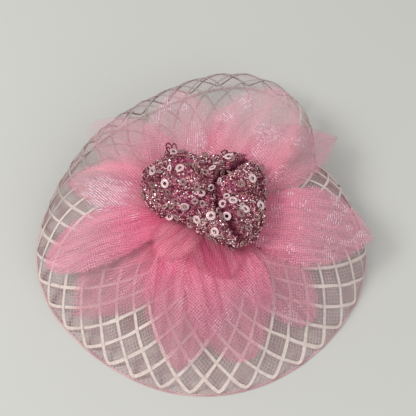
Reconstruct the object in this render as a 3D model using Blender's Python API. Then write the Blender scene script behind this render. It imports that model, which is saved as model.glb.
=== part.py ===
"""Fascinator headpiece: a saucer of gathered crin braid that carries a flower of sheer petals
with a sequinned centre, stitched to a felt pad with a sprung hair clip under it.

Metres, +Z up out of the flower. The origin is on the head-side face of the clip's jaw, on the
flower's axis. The clip lies along X. The front of the headpiece is towards -Y.
"""

import math
from collections import namedtuple

import bmesh
import bpy
from mathutils import Matrix, Vector
from mathutils.bvhtree import BVHTree

# ---------------------------------------------------------------- driving sizes
GAP = 0.0003  # clearance between pieces that seat on each other

# Hair clip
METAL = 0.0008  # sheet metal of both blades
CLIP_WIDTH = 0.009
CLIP_DEPTH = 0.0064  # inside height, from the jaw's head-side face to the top blade
PIN_X = -0.013
PIN_RADIUS = 0.0008
PIN_HEAD = 0.0014
PIN_HEAD_LENGTH = 0.0005
PIN_RUNNING = 0.00012  # radial clearance of the pin in its holes
EAR_RADIUS = 0.0023
BLADE_REACH = 0.050  # pin to the tip of the blades
TAIL_REACH = 0.017  # pin to the end of the tails
TAIL_SLOPE = math.radians(24)
NOSE_LENGTH = 0.016  # rising end of the jaw, which carries the teeth
TEETH = 5
TOOTH_HEIGHT = 0.0005
TOOTH_LEAN = 0.9  # share of the tooth's length at which its point stands
SPRING_WIRE = 0.0003  # radius
SPRING_COIL = 0.0016  # radius to the middle of the wire
SPRING_TURNS = 2.5
SPRING_SIDES = 12  # straight steps in one turn
SPRING_PITCH = 0.0009
SPRING_LEG = 0.010

# Felt pad, its stitches and the flower's core
PAD_RADIUS = 0.023
PAD_THICKNESS = 0.0018
THREAD = 0.0003  # radius
STITCH_PLACES = (-0.006, -0.003, 0.013, 0.016)
CORE_RADIUS = 0.006

# Crin braid: gathered at its inner edge, free at its outer selvedge
COLUMNS = 36
ROWS = 11  # crossings of the ribbons from the gathers to the selvedge
FIRST_RIBBON_ROW = 4  # nearer the gathers the ribbons lie hidden in the folds
GATHER_RADIUS = 0.008
RIM_RADIUS = 0.0783
RIM_WAVES = (  # (turns round the rim, height, phase): the rim is hand shaped, far from a circle
    (1, 0.0010, -1.69), (2, 0.0021, -2.35), (3, 0.0034, 2.38),
    (4, 0.0021, 1.05), (5, 0.0014, 0.65), (6, 0.0006, -0.77),
)
RIM_LEVEL = -0.013
CROWN_LEVEL = 0.0225  # height that the middle of the braid is pulled towards
CROWN_RADIUS = 0.036
SHOULDER_OUT, SHOULDER_UP = 0.004, 0.007  # the back's shoulder, past the rim and over the crown
SHOULDER_DRAW, SHOULDER_DROP = 0.028, 0.0235  # how far the front's shoulder is drawn in and down
SELVEDGE = 0.0024  # net left outside the ribbons' turns
NET_THICKNESS = 0.0005
RIBBON_WIDTH = 0.0014
RIBBON_THICKNESS = 0.0004
TURN_ROUNDING = 0.6
GATHER_CORD = 0.0007  # radius of the cord that draws the braid in
NOTCH_ANGLE = math.radians(34)  # where the two ends of the braid meet
NOTCH_SPREAD = math.radians(10)
NOTCH_DEPTH = 0.007

# Petals
PETAL_REACH = 0.075  # from the flower's axis to the tip of a full petal
PETAL_WIDTH = 0.042  # widest place of a full petal
FABRIC = 0.0005
LAYER_PITCH = 0.0010  # from one layer of petals to the next, at the core
FAN = 2.6  # how much further apart the layers are at the rim
BED_CLEARANCE = 0.0011
PLEAT_HEIGHT = 0.0016
PLEATS = 17
PLEAT_DRIFT = 3  # how far the pleats turn from the axis to the rim
CURL_GAIN = 1.3
ROOT_WIDTH = 0.5  # half a petal's root, as a share of the core's radius
LEAVE_SLOPE = math.radians(34)  # where a petal leaves the falling crown of the braid
ALONG, ACROSS = 9, 6  # faces of a petal

# Sequinned centre
PUFF_X, PUFF_Y = 0.003, 0.004
PUFF_RADIUS, PUFF_HEIGHT = 0.025, 0.023
PUFF_WAVES = ((2, 0.18, 0.58), (3, 0.10, -2.47))  # (turns, share of the radius, phase) of its outline
FOLDS = 2.5  # half the number of gathered lobes
FOLD_TURN = 0.55  # turns the folds round the middle
FOLD_LEAN, FOLD_TWIST = 0.9, 1.4  # how the folds drift with height, and outwards
FOLD_DEPTH = 0.0034
FOLD_NIP = 0.10  # share of the radius that a fold takes out of the outline
FOLD_START = 0.4  # share of the radius at which a fold is at its full depth
RING_RADIUS = 0.0021
RING_HOLE = 0.0009
RING_THICKNESS = 0.00035

# Facets
SHARP_EDGE = math.radians(35)
PIN_SIDES, PAD_SIDES, CORE_SIDES, RING_SIDES = 20, 40, 24, 10
CORD_SIDES, CORD_STEPS = 8, 32
PUFF_SIDES, PUFF_LEVELS = 30, 15
WIDTH_STEPS = 24  # straight steps that measure the braid's width
BED_STEPS = 30  # straight steps in which a petal looks for the braid under it
SLOPE_STEP = 0.01  # share of the braid's width over which its slope is taken

# ---------------------------------------------------------------- heights worked out
TOP_BLADE_Z = CLIP_DEPTH
PAD_Z = TOP_BLADE_Z + METAL + GAP
GATHER_Z = PAD_Z + PAD_THICKNESS + GAP
BRAID_STACK = NET_THICKNESS + GAP + RIBBON_THICKNESS
PIN_Z = CLIP_DEPTH - EAR_RADIUS - 2 * GAP
COIL_WIDTH = SPRING_TURNS * SPRING_PITCH

# Width is a share of PETAL_WIDTH. Reach, tip, curls and bend are shares of PETAL_REACH.
# belly: over 1 puts the widest place nearer the tip; blunt: under 1 rounds the tip
Petal = namedtuple("Petal", "name angle reach width belly blunt layer tip curl_left curl_right bend")
PETALS = (
    Petal("petal_left_under", 214, 1, 1, 1.1, 0.9, 0, 0, 0, 0, 0.04),
    Petal("petal_right_under", 317, 0.92, 0.81, 1.3, 0.5, 0, 0, 0, 0, -0.013),
    Petal("petal_back_right_under", 36, 1.08, 0.762, 1.1, 1, 0, 0.04, 0, 0, 0),
    Petal("petal_back_left_under", 136, 1.027, 0.81, 1.1, 0.7, 0, 0.027, 0, 0, 0.027),
    Petal("petal_front_left", 258, 0.96, 0.952, 1.15, 0.8, 1, 0, 0, 0, 0.04),
    Petal("petal_right", 347, 1.067, 1, 1.35, 0.9, 1, 0.027, 0, 0, 0.147),
    Petal("petal_back", 107, 0.893, 1.048, 1.1, 0.7, 1, 0.04, 0, 0, 0),
    Petal("petal_front_right", 286, 0.933, 0.952, 1.3, 0.5, 2, 0, 0, 0, -0.013),
    Petal("petal_back_right", 56, 0.973, 1.071, 1.15, 0.6, 2, 0.04, 0, 0.093, 0),
    Petal("petal_back_left", 166, 0.947, 0.714, 1.1, 0.8, 2, 0.013, 0, 0.053, 0.013),
    Petal("petal_left", 196, 1.013, 0.619, 1.35, 0.55, 3, 0, 0, 0, 0.027),
    Petal("petal_inner_front", 288, 0.493, 0.738, 1.1, 0.7, 3, 0.013, 0, 0, 0),
    Petal("petal_inner_left", 230, 0.453, 0.595, 1.1, 0.8, 4, 0, 0, 0, 0),
)
TOP_LAYER = max(p.layer for p in PETALS)

# Where the large ring sequins are sewn, from the middle of the puff, as shares of its radius
RING_PLACES = (
    (-1, 0.32), (-0.528, 0.256), (0.708, 0.132), (-0.184, -0.2), (-0.452, -0.364), (-0.812, 0.048),
    (-0.272, -0.64), (0.008, -0.6), (0.096, -0.82), (0.296, -0.58), (0.608, -0.476), (0.888, -0.344),
    (0.396, -0.344), (0.336, 0.576),
)

# ---------------------------------------------------------------- helpers


def clear_scene():
    for obj in list(bpy.data.objects):
        bpy.data.objects.remove(obj, do_unlink=True)


def material(name, colour, roughness, metallic=0.0):
    made = bpy.data.materials.get(name) or bpy.data.materials.new(name)
    made.use_nodes = True
    shader = made.node_tree.nodes["Principled BSDF"]
    shader.inputs["Base Color"].default_value = (*colour, 1.0)
    shader.inputs["Roughness"].default_value = roughness
    shader.inputs["Metallic"].default_value = metallic
    return made


def place(name, bm, finish, location=(0, 0, 0)):
    """Turns a bmesh into a named object."""
    mesh = bpy.data.meshes.new(name)
    bmesh.ops.recalc_face_normals(bm, faces=bm.faces)
    if bm.calc_volume(signed=True) < 0:
        bmesh.ops.reverse_faces(bm, faces=bm.faces)
    bm.to_mesh(mesh)
    bm.free()
    mesh.materials.append(finish)
    mesh.shade_smooth()
    mesh.set_sharp_from_angle(angle=SHARP_EDGE)
    obj = bpy.data.objects.new(name, mesh)
    obj.location = location
    bpy.context.scene.collection.objects.link(obj)
    return obj


def wire(name, points, radius, finish, location=(0, 0, 0)):
    """A round wire or thread that runs through the points."""
    data = bpy.data.curves.new(name, "CURVE")
    data.dimensions = "3D"
    data.bevel_depth = radius
    data.bevel_resolution = 1
    data.use_fill_caps = True
    line = data.splines.new("POLY")
    line.points.add(len(points) - 1)
    for point, place_of in zip(line.points, points):
        point.co = (*place_of, 1)
    data.materials.append(finish)
    obj = bpy.data.objects.new(name, data)
    obj.location = location
    bpy.context.scene.collection.objects.link(obj)
    return obj


def boolean(obj, other, operation):
    """Cuts or joins another object, which stays in the scene as a hidden guide."""
    modifier = obj.modifiers.new(f"{operation.lower()} {other.name}", "BOOLEAN")
    modifier.operation = operation
    modifier.solver = "EXACT"
    modifier.object = other
    other.hide_render = True
    other.display_type = "WIRE"


def thicken(bm, thickness):
    """Extrudes a flat pattern along Z into a slab."""
    grown = bmesh.ops.extrude_face_region(bm, geom=bm.faces[:])["geom"]
    top = [v for v in grown if isinstance(v, bmesh.types.BMVert)]
    bmesh.ops.translate(bm, vec=(0, 0, thickness), verts=top)


def prism(outline, width):
    """A solid with that side outline, in X and Z, centred on Y."""
    bm = bmesh.new()
    bm.faces.new([bm.verts.new((x, -width / 2, z)) for x, z in outline])
    grown = bmesh.ops.extrude_face_region(bm, geom=bm.faces[:])["geom"]
    far = [v for v in grown if isinstance(v, bmesh.types.BMVert)]
    bmesh.ops.translate(bm, vec=(0, width, 0), verts=far)
    return bm


def turned(profile, steps):
    """A solid turned round Z from a profile of (radius, height) that starts and ends on the axis."""
    bm = bmesh.new()
    points = [bm.verts.new((r, 0, z)) for r, z in profile]
    edges = [bm.edges.new(pair) for pair in zip(points, points[1:])]
    bmesh.ops.spin(
        bm, geom=points + edges, axis=(0, 0, 1), cent=(0, 0, 0), angle=2 * math.pi,
        steps=steps, use_merge=True,
    )
    bmesh.ops.remove_doubles(bm, verts=bm.verts, dist=1e-6)
    return bm


def rod(name, radius, length, finish):
    """A plain cylinder along Y, for holes and pins."""
    bm = bmesh.new()
    bmesh.ops.create_cone(
        bm, cap_ends=True, segments=PIN_SIDES, radius1=radius, radius2=radius, depth=length,
        matrix=Matrix.Rotation(math.pi / 2, 4, "X"),
    )
    return place(name, bm, finish)


# ---------------------------------------------------------------- hair clip


def ear_outline(reach):
    """One ear of a blade: a round end about the pin and a straight root at height reach."""
    side = 1 if reach > PIN_Z else -1
    arc = [math.radians(a) for a in range(180, 361, 20)]
    points = [(PIN_X + EAR_RADIUS * math.cos(a), PIN_Z + side * EAR_RADIUS * math.sin(a)) for a in arc]
    return points + [(PIN_X + EAR_RADIUS, reach), (PIN_X - EAR_RADIUS, reach)]


def add_ears(blade, spread, reach, finish):
    """Joins a pair of ears to a blade, spread apart measured to their outer faces, and drills them."""
    for side in (-1, 1):
        ear = place("ear", prism(ear_outline(reach), METAL), finish)
        ear.location.y = side * (spread - METAL) / 2
        boolean(blade, ear, "UNION")
    drill = rod(f"{blade.name}_drill", PIN_RADIUS + PIN_RUNNING, CLIP_WIDTH + 4 * METAL, finish)
    drill.location = (PIN_X, 0, PIN_Z)
    boolean(blade, drill, "DIFFERENCE")


def blade_plan(bottom, thickness):
    """A flat slab with the plan of the clip: square tails and a nose rounded to a half circle."""
    bm = bmesh.new()
    half = CLIP_WIDTH / 2
    nose = PIN_X + BLADE_REACH - half
    turns = [math.radians(d) for d in range(-90, 91, 18)]
    outline = [(PIN_X - TAIL_REACH, -half)]
    outline += [(nose + half * math.cos(a), half * math.sin(a)) for a in turns]
    outline += [(PIN_X - TAIL_REACH, half)]
    bm.faces.new([bm.verts.new((x, y, bottom)) for x, y in outline])
    thicken(bm, thickness)
    return bm


def clip_top_blade(finish):
    """The flat blade under the felt pad, with a rounded tip and ears folded down to the pin."""
    blade = place("clip_top_blade", blade_plan(TOP_BLADE_Z, METAL), finish)
    add_ears(blade, CLIP_WIDTH, TOP_BLADE_Z + METAL / 2, finish)
    return blade


def jaw_outline():
    """Side view of the jaw: sloping tail, flat belly that rests on the head, rising toothed nose."""
    belly_start = PIN_X - EAR_RADIUS - METAL
    belly_end = PIN_X + BLADE_REACH - NOSE_LENGTH
    tail = TAIL_REACH - EAR_RADIUS - METAL
    tail_x = belly_start - tail * math.cos(TAIL_SLOPE)
    tail_z = -tail * math.sin(TAIL_SLOPE)
    tip = PIN_X + BLADE_REACH
    rise = TOP_BLADE_Z - GAP - METAL - TOOTH_HEIGHT
    under = [(tail_x, tail_z), (belly_start, 0), (belly_end, 0), (tip, rise)]
    pitch = (tip - belly_end) / (TEETH + 1)
    slope = rise / (tip - belly_end)
    teeth = [(tip, rise + METAL)]
    for i in range(TEETH):
        root = tip - (i + 1) * pitch
        point = root + pitch * TOOTH_LEAN
        teeth.append((point, METAL + TOOTH_HEIGHT + slope * (point - belly_end)))
        teeth.append((root, METAL + slope * (root - belly_end)))
    teeth.append((belly_end, METAL))
    bend = belly_start + METAL * math.tan(TAIL_SLOPE / 2)
    return under + teeth + [(bend, METAL), (tail_x, tail_z + METAL)]


def clip_jaw(finish):
    """The moving jaw, whose ears sit inside the top blade's ears on the pin."""
    jaw = place("clip_jaw", prism(jaw_outline(), CLIP_WIDTH - GAP), finish)
    boolean(jaw, place("plan", blade_plan(-2 * CLIP_DEPTH, 4 * CLIP_DEPTH), finish), "INTERSECT")
    add_ears(jaw, CLIP_WIDTH - 2 * METAL - 2 * GAP, METAL / 2, finish)
    return jaw


def clip_pin(finish):
    """A rivet with a head outside each ear."""
    shoulder = CLIP_WIDTH / 2 + GAP / 2
    end = shoulder + PIN_HEAD_LENGTH
    chamfer = PIN_HEAD_LENGTH / 2
    head = [(PIN_HEAD - chamfer, -end), (PIN_HEAD, -end + chamfer), (PIN_HEAD, -shoulder)]
    half = [(0, -end), *head, (PIN_RADIUS, -shoulder)]
    bm = turned(half + [(r, -z) for r, z in reversed(half)], PIN_SIDES)
    pin = place("clip_pin", bm, finish, (PIN_X, 0, PIN_Z))
    pin.rotation_euler.x = math.pi / 2
    return pin


def clip_spring(finish):
    """A torsion spring round the pin, whose legs push the tails of the two blades apart."""
    start = -COIL_WIDTH / 2
    top = TOP_BLADE_Z - GAP - SPRING_WIRE - PIN_Z
    points = [(-SPRING_LEG, start, top), (-SPRING_COIL, start, (top + SPRING_COIL + GAP) / 2)]
    steps = round(SPRING_TURNS * SPRING_SIDES)
    for i in range(steps + 1):
        turn = i / steps * SPRING_TURNS
        angle = math.pi / 2 - 2 * math.pi * turn
        x, z = SPRING_COIL * math.cos(angle), SPRING_COIL * math.sin(angle)
        points.append((x, start + turn * SPRING_PITCH, z))
    belly = METAL + GAP + SPRING_WIRE - PIN_Z
    tail_start = -EAR_RADIUS - METAL
    points.append((tail_start, COIL_WIDTH / 2, belly))
    run = SPRING_LEG + tail_start
    points.append((-SPRING_LEG, COIL_WIDTH / 2, belly - run * math.tan(TAIL_SLOPE)))
    return wire("clip_spring", points, SPRING_WIRE, finish, (PIN_X, 0, PIN_Z))


def clip_stitches(finish):
    """Loops of thread that hold the top blade to the felt pad, each passing under the blade."""
    side = CLIP_WIDTH / 2 + GAP + THREAD
    under = TOP_BLADE_Z - GAP - THREAD
    corner = 2 * THREAD
    top = PAD_Z - GAP
    for number, x in enumerate(STITCH_PLACES, 1):
        half = [(side, top), (side, under + corner), (side - corner, under)]
        path = half + [(-y, z) for y, z in reversed(half)]
        wire(f"clip_stitch_{number}", [(x, y, z) for y, z in path], THREAD, finish)


# ---------------------------------------------------------------- crin braid


def flare(theta):
    """1 at the front of the headpiece, where the braid spreads flat, and 0 at the back, where it rolls."""
    return 0.5 - 0.5 * math.sin(theta)


def rim_radius(theta):
    wave = sum(height * math.cos(turns * theta + phase) for turns, height, phase in RIM_WAVES)
    off = math.remainder(theta - NOTCH_ANGLE, 2 * math.pi) / NOTCH_SPREAD
    return RIM_RADIUS + wave - NOTCH_DEPTH * math.exp(-off * off)


def braid_line(t, theta):
    """(radius, height) of the braid's underside, t of the way from the gathers to the selvedge."""
    rim = rim_radius(theta)
    spread = flare(theta)
    near = (CROWN_RADIUS, CROWN_LEVEL)
    shoulder_radius = rim + SHOULDER_OUT - SHOULDER_DRAW * spread
    shoulder_level = CROWN_LEVEL + SHOULDER_UP - SHOULDER_DROP * spread
    a, b, c, d = (1 - t) ** 3, 3 * t * (1 - t) ** 2, 3 * t * t * (1 - t), t**3
    radius = a * GATHER_RADIUS + b * near[0] + c * shoulder_radius + d * rim
    level = a * GATHER_Z + b * near[1] + c * shoulder_level + d * RIM_LEVEL
    return radius, level


def braid_point(theta, t, lift):
    """A point that far above the braid's underside, square to it."""
    radius, level = braid_line(t, theta)
    before, after = braid_line(t - SLOPE_STEP, theta), braid_line(t + SLOPE_STEP, theta)
    across, along = after[1] - before[1], after[0] - before[0]
    size = math.hypot(across, along)
    radius -= lift * across / size
    level += lift * along / size
    return Vector((radius * math.cos(theta), radius * math.sin(theta), level))


def braid_width():
    """Length of the braid's line from the gathers to the selvedge, at the front."""
    points = [Vector(braid_line(i / WIDTH_STEPS, -math.pi / 2)) for i in range(WIDTH_STEPS + 1)]
    return sum((b - a).length for a, b in zip(points, points[1:]))


def crossing_share(row):
    """How far out that row of crossings lies. The row after the last crossings is the selvedge."""
    return 1.0 if row > ROWS else row / ROWS * (1 - SELVEDGE / braid_width())


SHARES = [crossing_share(row) for row in range(ROWS + 2)]


def crossing(column, row, lift):
    """A crossing of the net's lattice, whose odd rows are shifted by half a column."""
    theta = (column + row % 2 / 2) * 2 * math.pi / COLUMNS
    return braid_point(theta, SHARES[row], lift)


def lattice_point(column, row, lift):
    """A point on the flat triangles between the crossings, at that column and row of the lattice."""
    inner = min(int(row), ROWS)
    f = row - inner
    along = column - inner % 2 / 2
    i = math.floor(along)
    w = along - i
    shift = inner % 2
    if w > 1 - f / 2:
        i, w = i + 1, w - 1
    if w < f / 2:
        left, right = f / 2 - w, f / 2 + w
        return (
            (1 - f) * crossing(i, inner, lift)
            + left * crossing(i - 1 + shift, inner + 1, lift)
            + right * crossing(i + shift, inner + 1, lift)
        )
    return (
        (1 - w - f / 2) * crossing(i, inner, lift)
        + (w - f / 2) * crossing(i + 1, inner, lift)
        + f * crossing(i + shift, inner + 1, lift)
    )


def wrap(bm):
    """Takes a slab whose points are (column, row, lift) to its place on the saucer."""
    for v in bm.verts:
        v.co = lattice_point(*v.co)


def crin_net(finish):
    """The fine net of the braid as one thin skin, with a point under each crossing of the ribbons."""
    bm = bmesh.new()
    rows = [
        [bm.verts.new((i + row % 2 / 2, row, 0)) for i in range(COLUMNS)]
        for row in range(ROWS + 2)
    ]
    for row, (inner, outer) in enumerate(zip(rows, rows[1:])):
        for i in range(COLUMNS):
            after = (i + 1) % COLUMNS
            if row % 2:
                bm.faces.new((inner[i], outer[i], outer[after]))
                bm.faces.new((inner[i], outer[after], inner[after]))
            else:
                bm.faces.new((inner[i], outer[i], inner[after]))
                bm.faces.new((inner[after], outer[i], outer[after]))
    thicken(bm, NET_THICKNESS)
    wrap(bm)
    return place("crin_net", bm, finish)


def ribbon_crossing(bm, column, row):
    """The corners where two ribbons cross: east, south, west and north, with north towards the gathers.
    At the selvedge the two ribbons turn into one another and the south corner is rounded off."""
    radius = braid_line(SHARES[row], 0)[0]
    row_pitch = braid_width() * SHARES[1]
    slant = math.atan2(row_pitch, radius * math.pi / COLUMNS)
    east = RIBBON_WIDTH / 2 / math.sin(slant) * COLUMNS / (2 * math.pi * radius)
    north = RIBBON_WIDTH / 2 / math.cos(slant) / row_pitch
    if row == ROWS:
        south = TURN_ROUNDING * north * row_pitch / SELVEDGE
        lower = [(column + east / 2, row + south), (column - east / 2, row + south)]
    else:
        lower = [(column, row + north)]
    around = [(column + east, row), *lower, (column - east, row), (column, row - north)]
    return [bm.verts.new((c, r, NET_THICKNESS + GAP)) for c, r in around]


def crin_ribbons(finish):
    """The flat ribbons that run slantwise through the net and turn back at the selvedge: one lattice."""
    bm = bmesh.new()
    rows = [
        [ribbon_crossing(bm, i + row % 2 / 2, row) for i in range(COLUMNS)]
        for row in range(FIRST_RIBBON_ROW, ROWS + 1)
    ]
    for corners in (corners for row in rows for corners in row):
        bm.faces.new(corners)
    for row, (inner, outer) in enumerate(zip(rows, rows[1:]), FIRST_RIBBON_ROW):
        for i, (east, south, west, _) in enumerate(inner):
            right = outer[(i + row % 2) % COLUMNS]
            left = outer[(i + row % 2 - 1) % COLUMNS]
            bm.faces.new((east, right[-1], right[-2], south))
            bm.faces.new((south, left[0], left[-1], west))
    thicken(bm, RIBBON_THICKNESS)
    wrap(bm)
    return place("crin_ribbons", bm, finish)


def gather_cord(finish):
    """The cord that draws the inner selvedge in, lying on the felt pad inside the gathers."""
    radius = GATHER_RADIUS - GATHER_CORD - GAP
    bm = bmesh.new()
    bmesh.ops.create_circle(
        bm, cap_ends=False, radius=GATHER_CORD, segments=CORD_SIDES,
        matrix=Matrix.Translation((radius, 0, 0)) @ Matrix.Rotation(math.pi / 2, 4, "X"),
    )
    bmesh.ops.spin(
        bm, geom=bm.verts[:] + bm.edges[:], axis=(0, 0, 1), cent=(0, 0, 0), angle=2 * math.pi,
        steps=CORD_STEPS, use_merge=True,
    )
    return place("gather_cord", bm, finish, (0, 0, GATHER_Z + GATHER_CORD))


# ---------------------------------------------------------------- pad and core


def felt_pad(finish):
    """A felt disc with its edges worn round."""
    edge = PAD_THICKNESS / 4
    wall = [(PAD_RADIUS, edge), (PAD_RADIUS, PAD_THICKNESS - edge)]
    profile = [(0, 0), (PAD_RADIUS - edge, 0), *wall, (PAD_RADIUS - edge, PAD_THICKNESS), (0, PAD_THICKNESS)]
    return place("felt_pad", turned(profile, PAD_SIDES), finish, (0, 0, PAD_Z))


def core_top():
    """Height of the core, level with the top of the petals' roots."""
    return layer_level(CORE_RADIUS + GAP, 0, TOP_LAYER + 1)


def flower_core(finish):
    """The stiff button that the petals' roots are sewn round, between the pad and the sequinned centre."""
    waist = CORE_RADIUS - 2 * GATHER_CORD
    z = GATHER_Z
    step = z + 2 * GATHER_CORD + GAP
    wall = [(waist, z), (waist, step), (CORE_RADIUS, step + GATHER_CORD), (CORE_RADIUS, core_top())]
    bm = turned([(0, z), *wall, (0, core_top())], CORE_SIDES)
    return place("flower_core", bm, finish)


# ---------------------------------------------------------------- petals


def bed_level(radius, theta):
    """Height of the ribbons' top there, carried on in a straight line once the braid falls steeply."""
    before = None
    limit = -math.tan(LEAVE_SLOPE)
    for i in range(BED_STEPS + 1):
        point = braid_point(theta, i / BED_STEPS, BRAID_STACK)
        here = math.hypot(point.x, point.y), point.z
        if before is not None:
            slope = (here[1] - before[1]) / max(here[0] - before[0], 1e-9)
            if slope < limit:
                return before[1] + limit * (radius - before[0])
            if here[0] >= radius:
                return before[1] + slope * (radius - before[0])
        before = here
    return before[1] + limit * (radius - before[0])


def pleat(radius, theta):
    """Shallow pleats that every layer of petals shares, so that layers lie into one another."""
    out = min(radius / RIM_RADIUS, 1.0)
    return PLEAT_HEIGHT * out * out * (0.5 + 0.5 * math.sin(PLEATS * theta + PLEAT_DRIFT * out))


def layer_level(radius, theta, layer):
    """Underside of that layer of petals."""
    out = radius / RIM_RADIUS
    pitch = max(LAYER_PITCH, FABRIC + GAP) * (1 + (FAN - 1) * out * out)
    return bed_level(radius, theta) + BED_CLEARANCE + layer * pitch + pleat(radius, theta)


def petal_half_width(p, share):
    """Half the petal's width: a narrow root, a full belly and a pointed or rounded tip."""
    swell = math.sin(math.pi * share**p.belly) ** (1 - (1 - p.blunt) * share) if share < 1 else 0.0
    root = CORE_RADIUS * ROOT_WIDTH
    return root * (1 - share) + (p.width * PETAL_WIDTH - root) / 2 * swell


def petal(p, finish):
    """One petal of sheer fabric: a flat pattern, thickened and laid over what is under it."""
    bm = bmesh.new()
    angle = math.radians(p.angle)
    along = Vector((math.cos(angle), math.sin(angle), 0))
    aside = Vector((-along.y, along.x, 0))
    root = CORE_RADIUS + GAP
    rows = []
    for i in range(ALONG):
        share = i / ALONG
        half = petal_half_width(p, share)
        rows.append([bm.verts.new((share, (2 * j / ACROSS - 1) * half, 0)) for j in range(ACROSS + 1)])
    tip = bm.verts.new((1, 0, 0))
    for inner, outer in zip(rows, rows[1:]):
        for j in range(ACROSS):
            bm.faces.new((inner[j], inner[j + 1], outer[j + 1], outer[j]))
    for a, b in zip(rows[-1], rows[-1][1:]):
        bm.faces.new((a, b, tip))
    thicken(bm, FABRIC)
    for v in bm.verts:
        share, side, lift = v.co
        out = root + share * (p.reach * PETAL_REACH - root)
        # the root edge follows the core's round wall
        inset = root - math.sqrt(max(root * root - side * side, 0)) if abs(side) < root else root
        out -= inset * (1 - share) ** 3
        point = along * out + aside * (side + p.bend * PETAL_REACH * share * share)
        radius, theta = point.length, math.atan2(point.y, point.x)
        edge = side / max(petal_half_width(p, share), GAP)
        curl = p.curl_left * max(edge, 0) ** 3 + p.curl_right * max(-edge, 0) ** 3
        curl *= CURL_GAIN * share * math.sin(math.pi * share)
        point.z = layer_level(radius, theta, p.layer) + lift + PETAL_REACH * (curl + p.tip * share**3)
        v.co = point
    return place(p.name, bm, finish)


# ---------------------------------------------------------------- sequinned centre


def puff_radius(theta, up):
    """Radius in that direction: a lopsided outline, nipped in where the folds run out of it."""
    wave = sum(share * math.cos(turns * theta + phase) for turns, share, phase in PUFF_WAVES)
    lobe = abs(math.cos(FOLDS * theta + FOLD_TURN + FOLD_LEAN * up))
    return PUFF_RADIUS * (1 + wave - (1 - lobe) ** 2 * FOLD_NIP)


def sequin_puff(finish):
    """A ball of bunched fabric that sits in the flower, seated on the core and the petals' roots."""
    bm = bmesh.new()
    bmesh.ops.create_uvsphere(bm, u_segments=PUFF_SIDES, v_segments=PUFF_LEVELS, radius=1.0)
    floor = core_top() + GAP
    middle = floor + PUFF_HEIGHT / 2
    for v in bm.verts:
        unit = v.co.copy()
        theta = math.atan2(unit.y, unit.x)
        around = math.hypot(unit.x, unit.y)
        radius = puff_radius(theta, unit.z)
        fold = math.cos(FOLDS * theta + FOLD_TURN + FOLD_TWIST * around)
        x = unit.x * radius + PUFF_X
        y = unit.y * radius + PUFF_Y
        z = middle + unit.z * PUFF_HEIGHT / 2
        if unit.z > 0:
            z -= FOLD_DEPTH * (1 - abs(fold)) ** 3 * unit.z * min(1.0, around / FOLD_START)
        z = max(z, floor, layer_level(math.hypot(x, y), math.atan2(y, x), TOP_LAYER + 1) + GAP)
        v.co = (x, y, z)
    return place("sequin_puff", bm, finish)


def ring_seat(skin, x, y):
    """Where a ring sewn at x, y lies: the way it faces, and its middle, clear of the folds under it."""
    down = Vector((0, 0, -1))
    around = [(math.cos(a), math.sin(a)) for a in (math.radians(d) for d in range(0, 360, 30))]
    rays = [skin.ray_cast(Vector((x + RING_RADIUS * c, y + RING_RADIUS * s, 1)), down) for c, s in around]
    hits = [ray for ray in rays if ray[0]]
    normal = sum((hit[1] for hit in hits), Vector()).normalized()
    middle = sum((hit[0] for hit in hits), Vector()) / len(hits)
    return normal, middle + normal * (max((hit[0] - middle).dot(normal) for hit in hits) + GAP)


def ring_sequins(puff, finish):
    """Large ring sequins, each lying on the fabric where it is sewn."""
    skin = BVHTree.FromObject(puff, bpy.context.evaluated_depsgraph_get())
    lower = [(RING_HOLE, 0), (RING_RADIUS, 0)]
    outline = lower + [(r, RING_THICKNESS) for r, _ in reversed(lower)]
    for number, (x, y) in enumerate(RING_PLACES, 1):
        normal, seat = ring_seat(skin, x * PUFF_RADIUS + PUFF_X, y * PUFF_RADIUS + PUFF_Y)
        bm = bmesh.new()
        corners = [bm.verts.new((r, 0, z)) for r, z in outline]
        edges = [bm.edges.new((a, b)) for a, b in zip(corners, corners[1:] + corners[:1])]
        bmesh.ops.spin(
            bm, geom=corners + edges, axis=(0, 0, 1), cent=(0, 0, 0), angle=2 * math.pi,
            steps=RING_SIDES, use_merge=True,
        )
        ring = place(f"ring_sequin_{number:02d}", bm, finish, seat)
        ring.rotation_mode = "QUATERNION"
        ring.rotation_quaternion = normal.to_track_quat("Z", "Y")


# ---------------------------------------------------------------- assembly


def build():
    clear_scene()
    nickel = material("nickel plate", (0.62, 0.60, 0.57), 0.28, 1.0)
    spring_steel = material("spring steel", (0.42, 0.42, 0.43), 0.35, 1.0)
    felt = material("pink felt", (0.80, 0.36, 0.45), 0.95)
    buckram = material("buckram", (0.82, 0.74, 0.70), 0.9)
    net = material("crin net", (0.78, 0.60, 0.60), 0.45)
    ribbon = material("crin ribbon", (0.86, 0.77, 0.70), 0.35)
    cord = material("gather cord", (0.84, 0.62, 0.64), 0.8)
    sheer = material("sheer fabric", (0.86, 0.28, 0.40), 0.5)
    bunched = material("sequinned fabric", (0.34, 0.10, 0.18), 0.6)
    sequin = material("sequin", (0.85, 0.68, 0.68), 0.18, 0.9)

    clip_top_blade(nickel)
    clip_jaw(nickel)
    clip_pin(nickel)
    clip_spring(spring_steel)
    clip_stitches(cord)
    felt_pad(felt)
    crin_net(net)
    crin_ribbons(ribbon)
    gather_cord(cord)
    flower_core(buckram)
    for p in PETALS:
        petal(p, sheer)
    puff = sequin_puff(bunched)
    bpy.context.view_layer.update()
    ring_sequins(puff, sequin)


build()
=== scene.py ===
# %% [markdown]
# # A fascinator: gathered crin, sheer petals and a beaded centre
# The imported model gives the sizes, the hinge of the hair clip and a plain solid for each soft
# part. This lesson builds the looks around it, in metres, in the same frame: +Z points out of the
# flower and -Y is the front. We keep the frame's box, because the finished headpiece may stand
# only a little proud of it.

# %% Load the frame
import math
import random
from collections import namedtuple
from functools import lru_cache
from itertools import product

import bmesh
import bpy
from mathutils import Matrix, Vector, noise
from mathutils.bvhtree import BVHTree


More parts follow.
